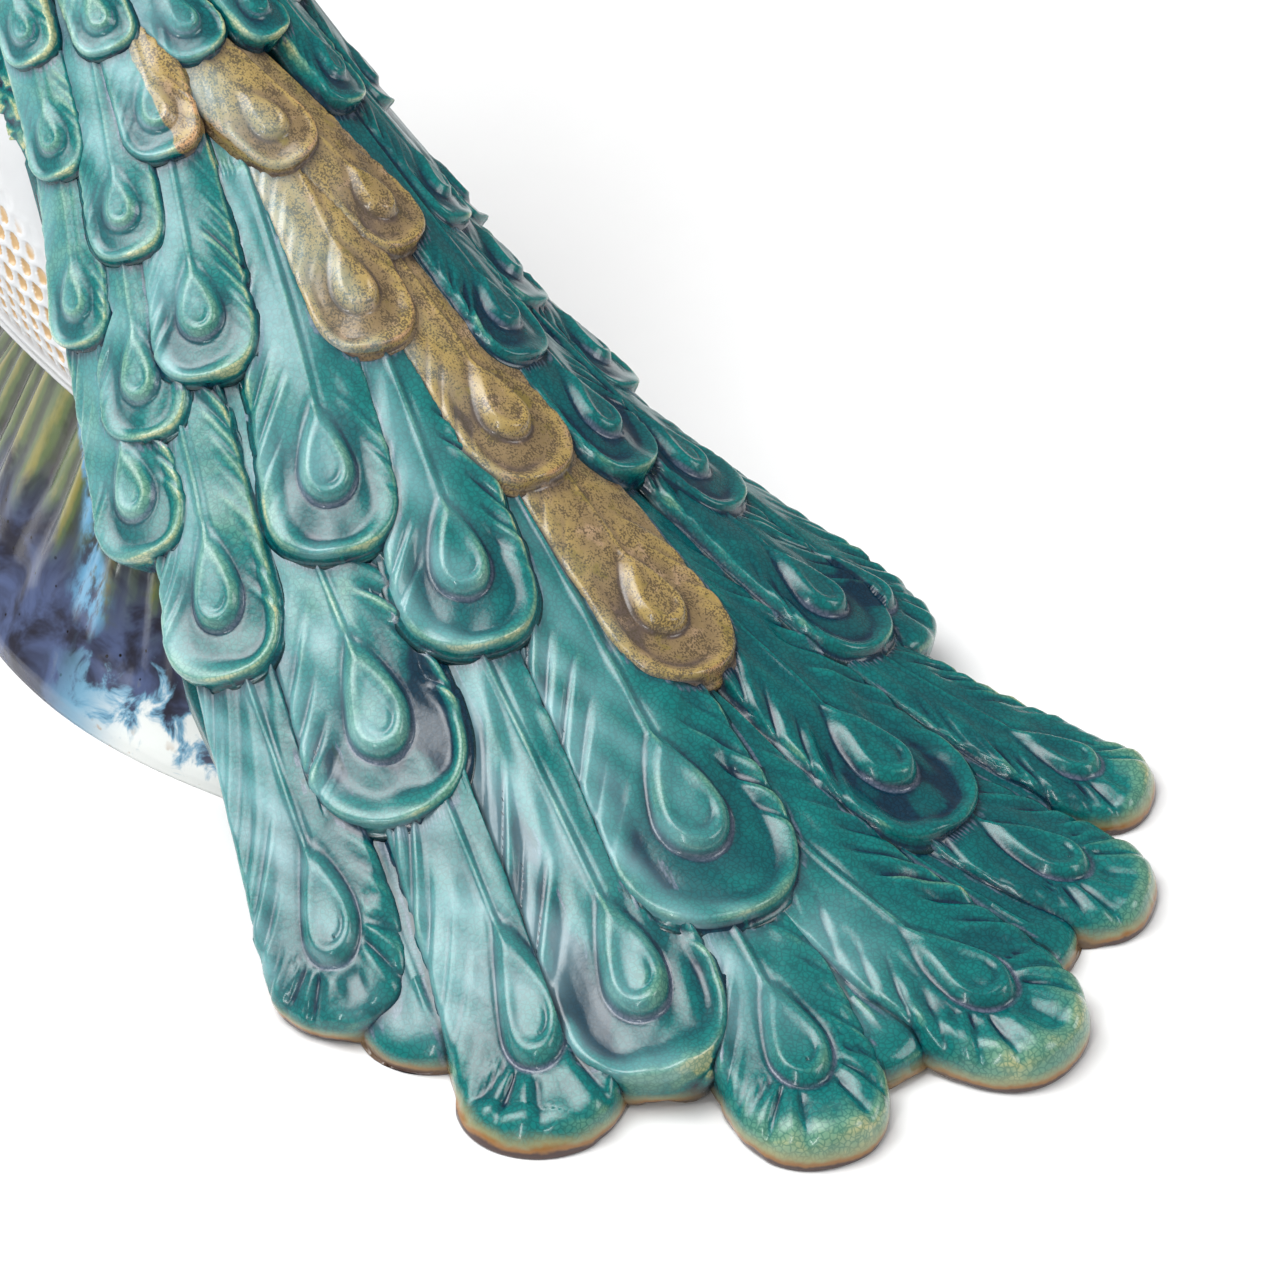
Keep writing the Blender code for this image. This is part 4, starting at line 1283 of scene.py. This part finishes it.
def eye_material():
    material, tree, shader, place = new_material("eye_glaze", 0.05)
    cloud = noise(tree, place, 600.0, 2.0)
    colour = blend(tree, cloud, (0.01, 0.008, 0.006, 1), (0.03, 0.02, 0.015, 1))
    tree.links.new(colour, shader.inputs["Base Color"])
    return material


def dress(item, material):
    item.data.materials.clear()
    item.data.materials.append(material)
    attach(item, "root")
    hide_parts("peacock_figurine")


def soft_light(name, place, target, size, power, height=None):
    bpy.ops.object.light_add(type="AREA", location=place)
    light = bpy.context.object
    light.name = name
    light.data.shape = "RECTANGLE"
    light.data.size = size
    light.data.size_y = height or size
    light.data.energy = power
    aim = Vector(target) - Vector(place)
    light.rotation_euler = aim.to_track_quat("-Z", "Y").to_euler()


def make_studio():
    bpy.ops.mesh.primitive_plane_add(size=8, location=(0, 0, -0.0003))
    floor = bpy.context.object
    floor.name = "pale_floor"
    material, tree, shader, place = new_material("pale_paper", 0.8)
    grain = noise(tree, place, 30.0, 2.0)
    paper = blend(tree, grain, (0.9, 0.9, 0.9, 1), (0.92, 0.92, 0.92, 1))
    tree.links.new(paper, shader.inputs["Base Color"])
    floor.data.materials.append(material)
    world = bpy.data.worlds.new("studio")
    world.use_nodes = True
    world.node_tree.nodes["Background"].inputs["Color"].default_value = (1, 1, 1, 1)
    world.node_tree.nodes["Background"].inputs["Strength"].default_value = 0.25
    bpy.context.scene.world = world
    bpy.context.scene.view_settings.view_transform = "Standard"
    middle = (0.1, 0, 0.08)
    for number, (size, power) in enumerate(((0.45, 3), (0.8, 9), (1.15, 16))):
        place = (-0.25, -0.5, 1.23 + 0.02 * number)
        soft_light(f"overhead_bank_{number + 1}", place, middle, size, power, 1.6 * size)
    soft_light("side_light", (1.1, 0.9, 0.9), middle, 0.7, 7)
    soft_light("front_strip", (0.9, -1.2, 0.8), middle, 0.1, 5, 0.9)


make_camera()
make_studio()
groups["glaze_crackle"] = make_crackle_group()
groups["glaze_pooling"] = make_pool_group()
groups["iron_specks"] = make_speckle_group()
teal, white, stone, horn, dark_eye = (teal_material(), white_material(), rock_material(),
                                      horn_material(), eye_material())
for row_number in range(len(FEATHER_ROWS)):
    meshes = [feather_mesh(feather) for feather in feathers if feather.row == row_number]
    dress(join_pieces(meshes, f"train_feathers_row_{row_number + 1}"), teal)
dress(train_sheet(), teal)
dress(bird_body(), teal)
dress(head_crest(), teal)
dress(beak(), horn)
dress(legs_and_toes(), horn)
dress(rock(), stone)
for wing_side in (-1, 1):
    dress(wing(wing_side), white)
    dress(bird_eye(wing_side), dark_eye)
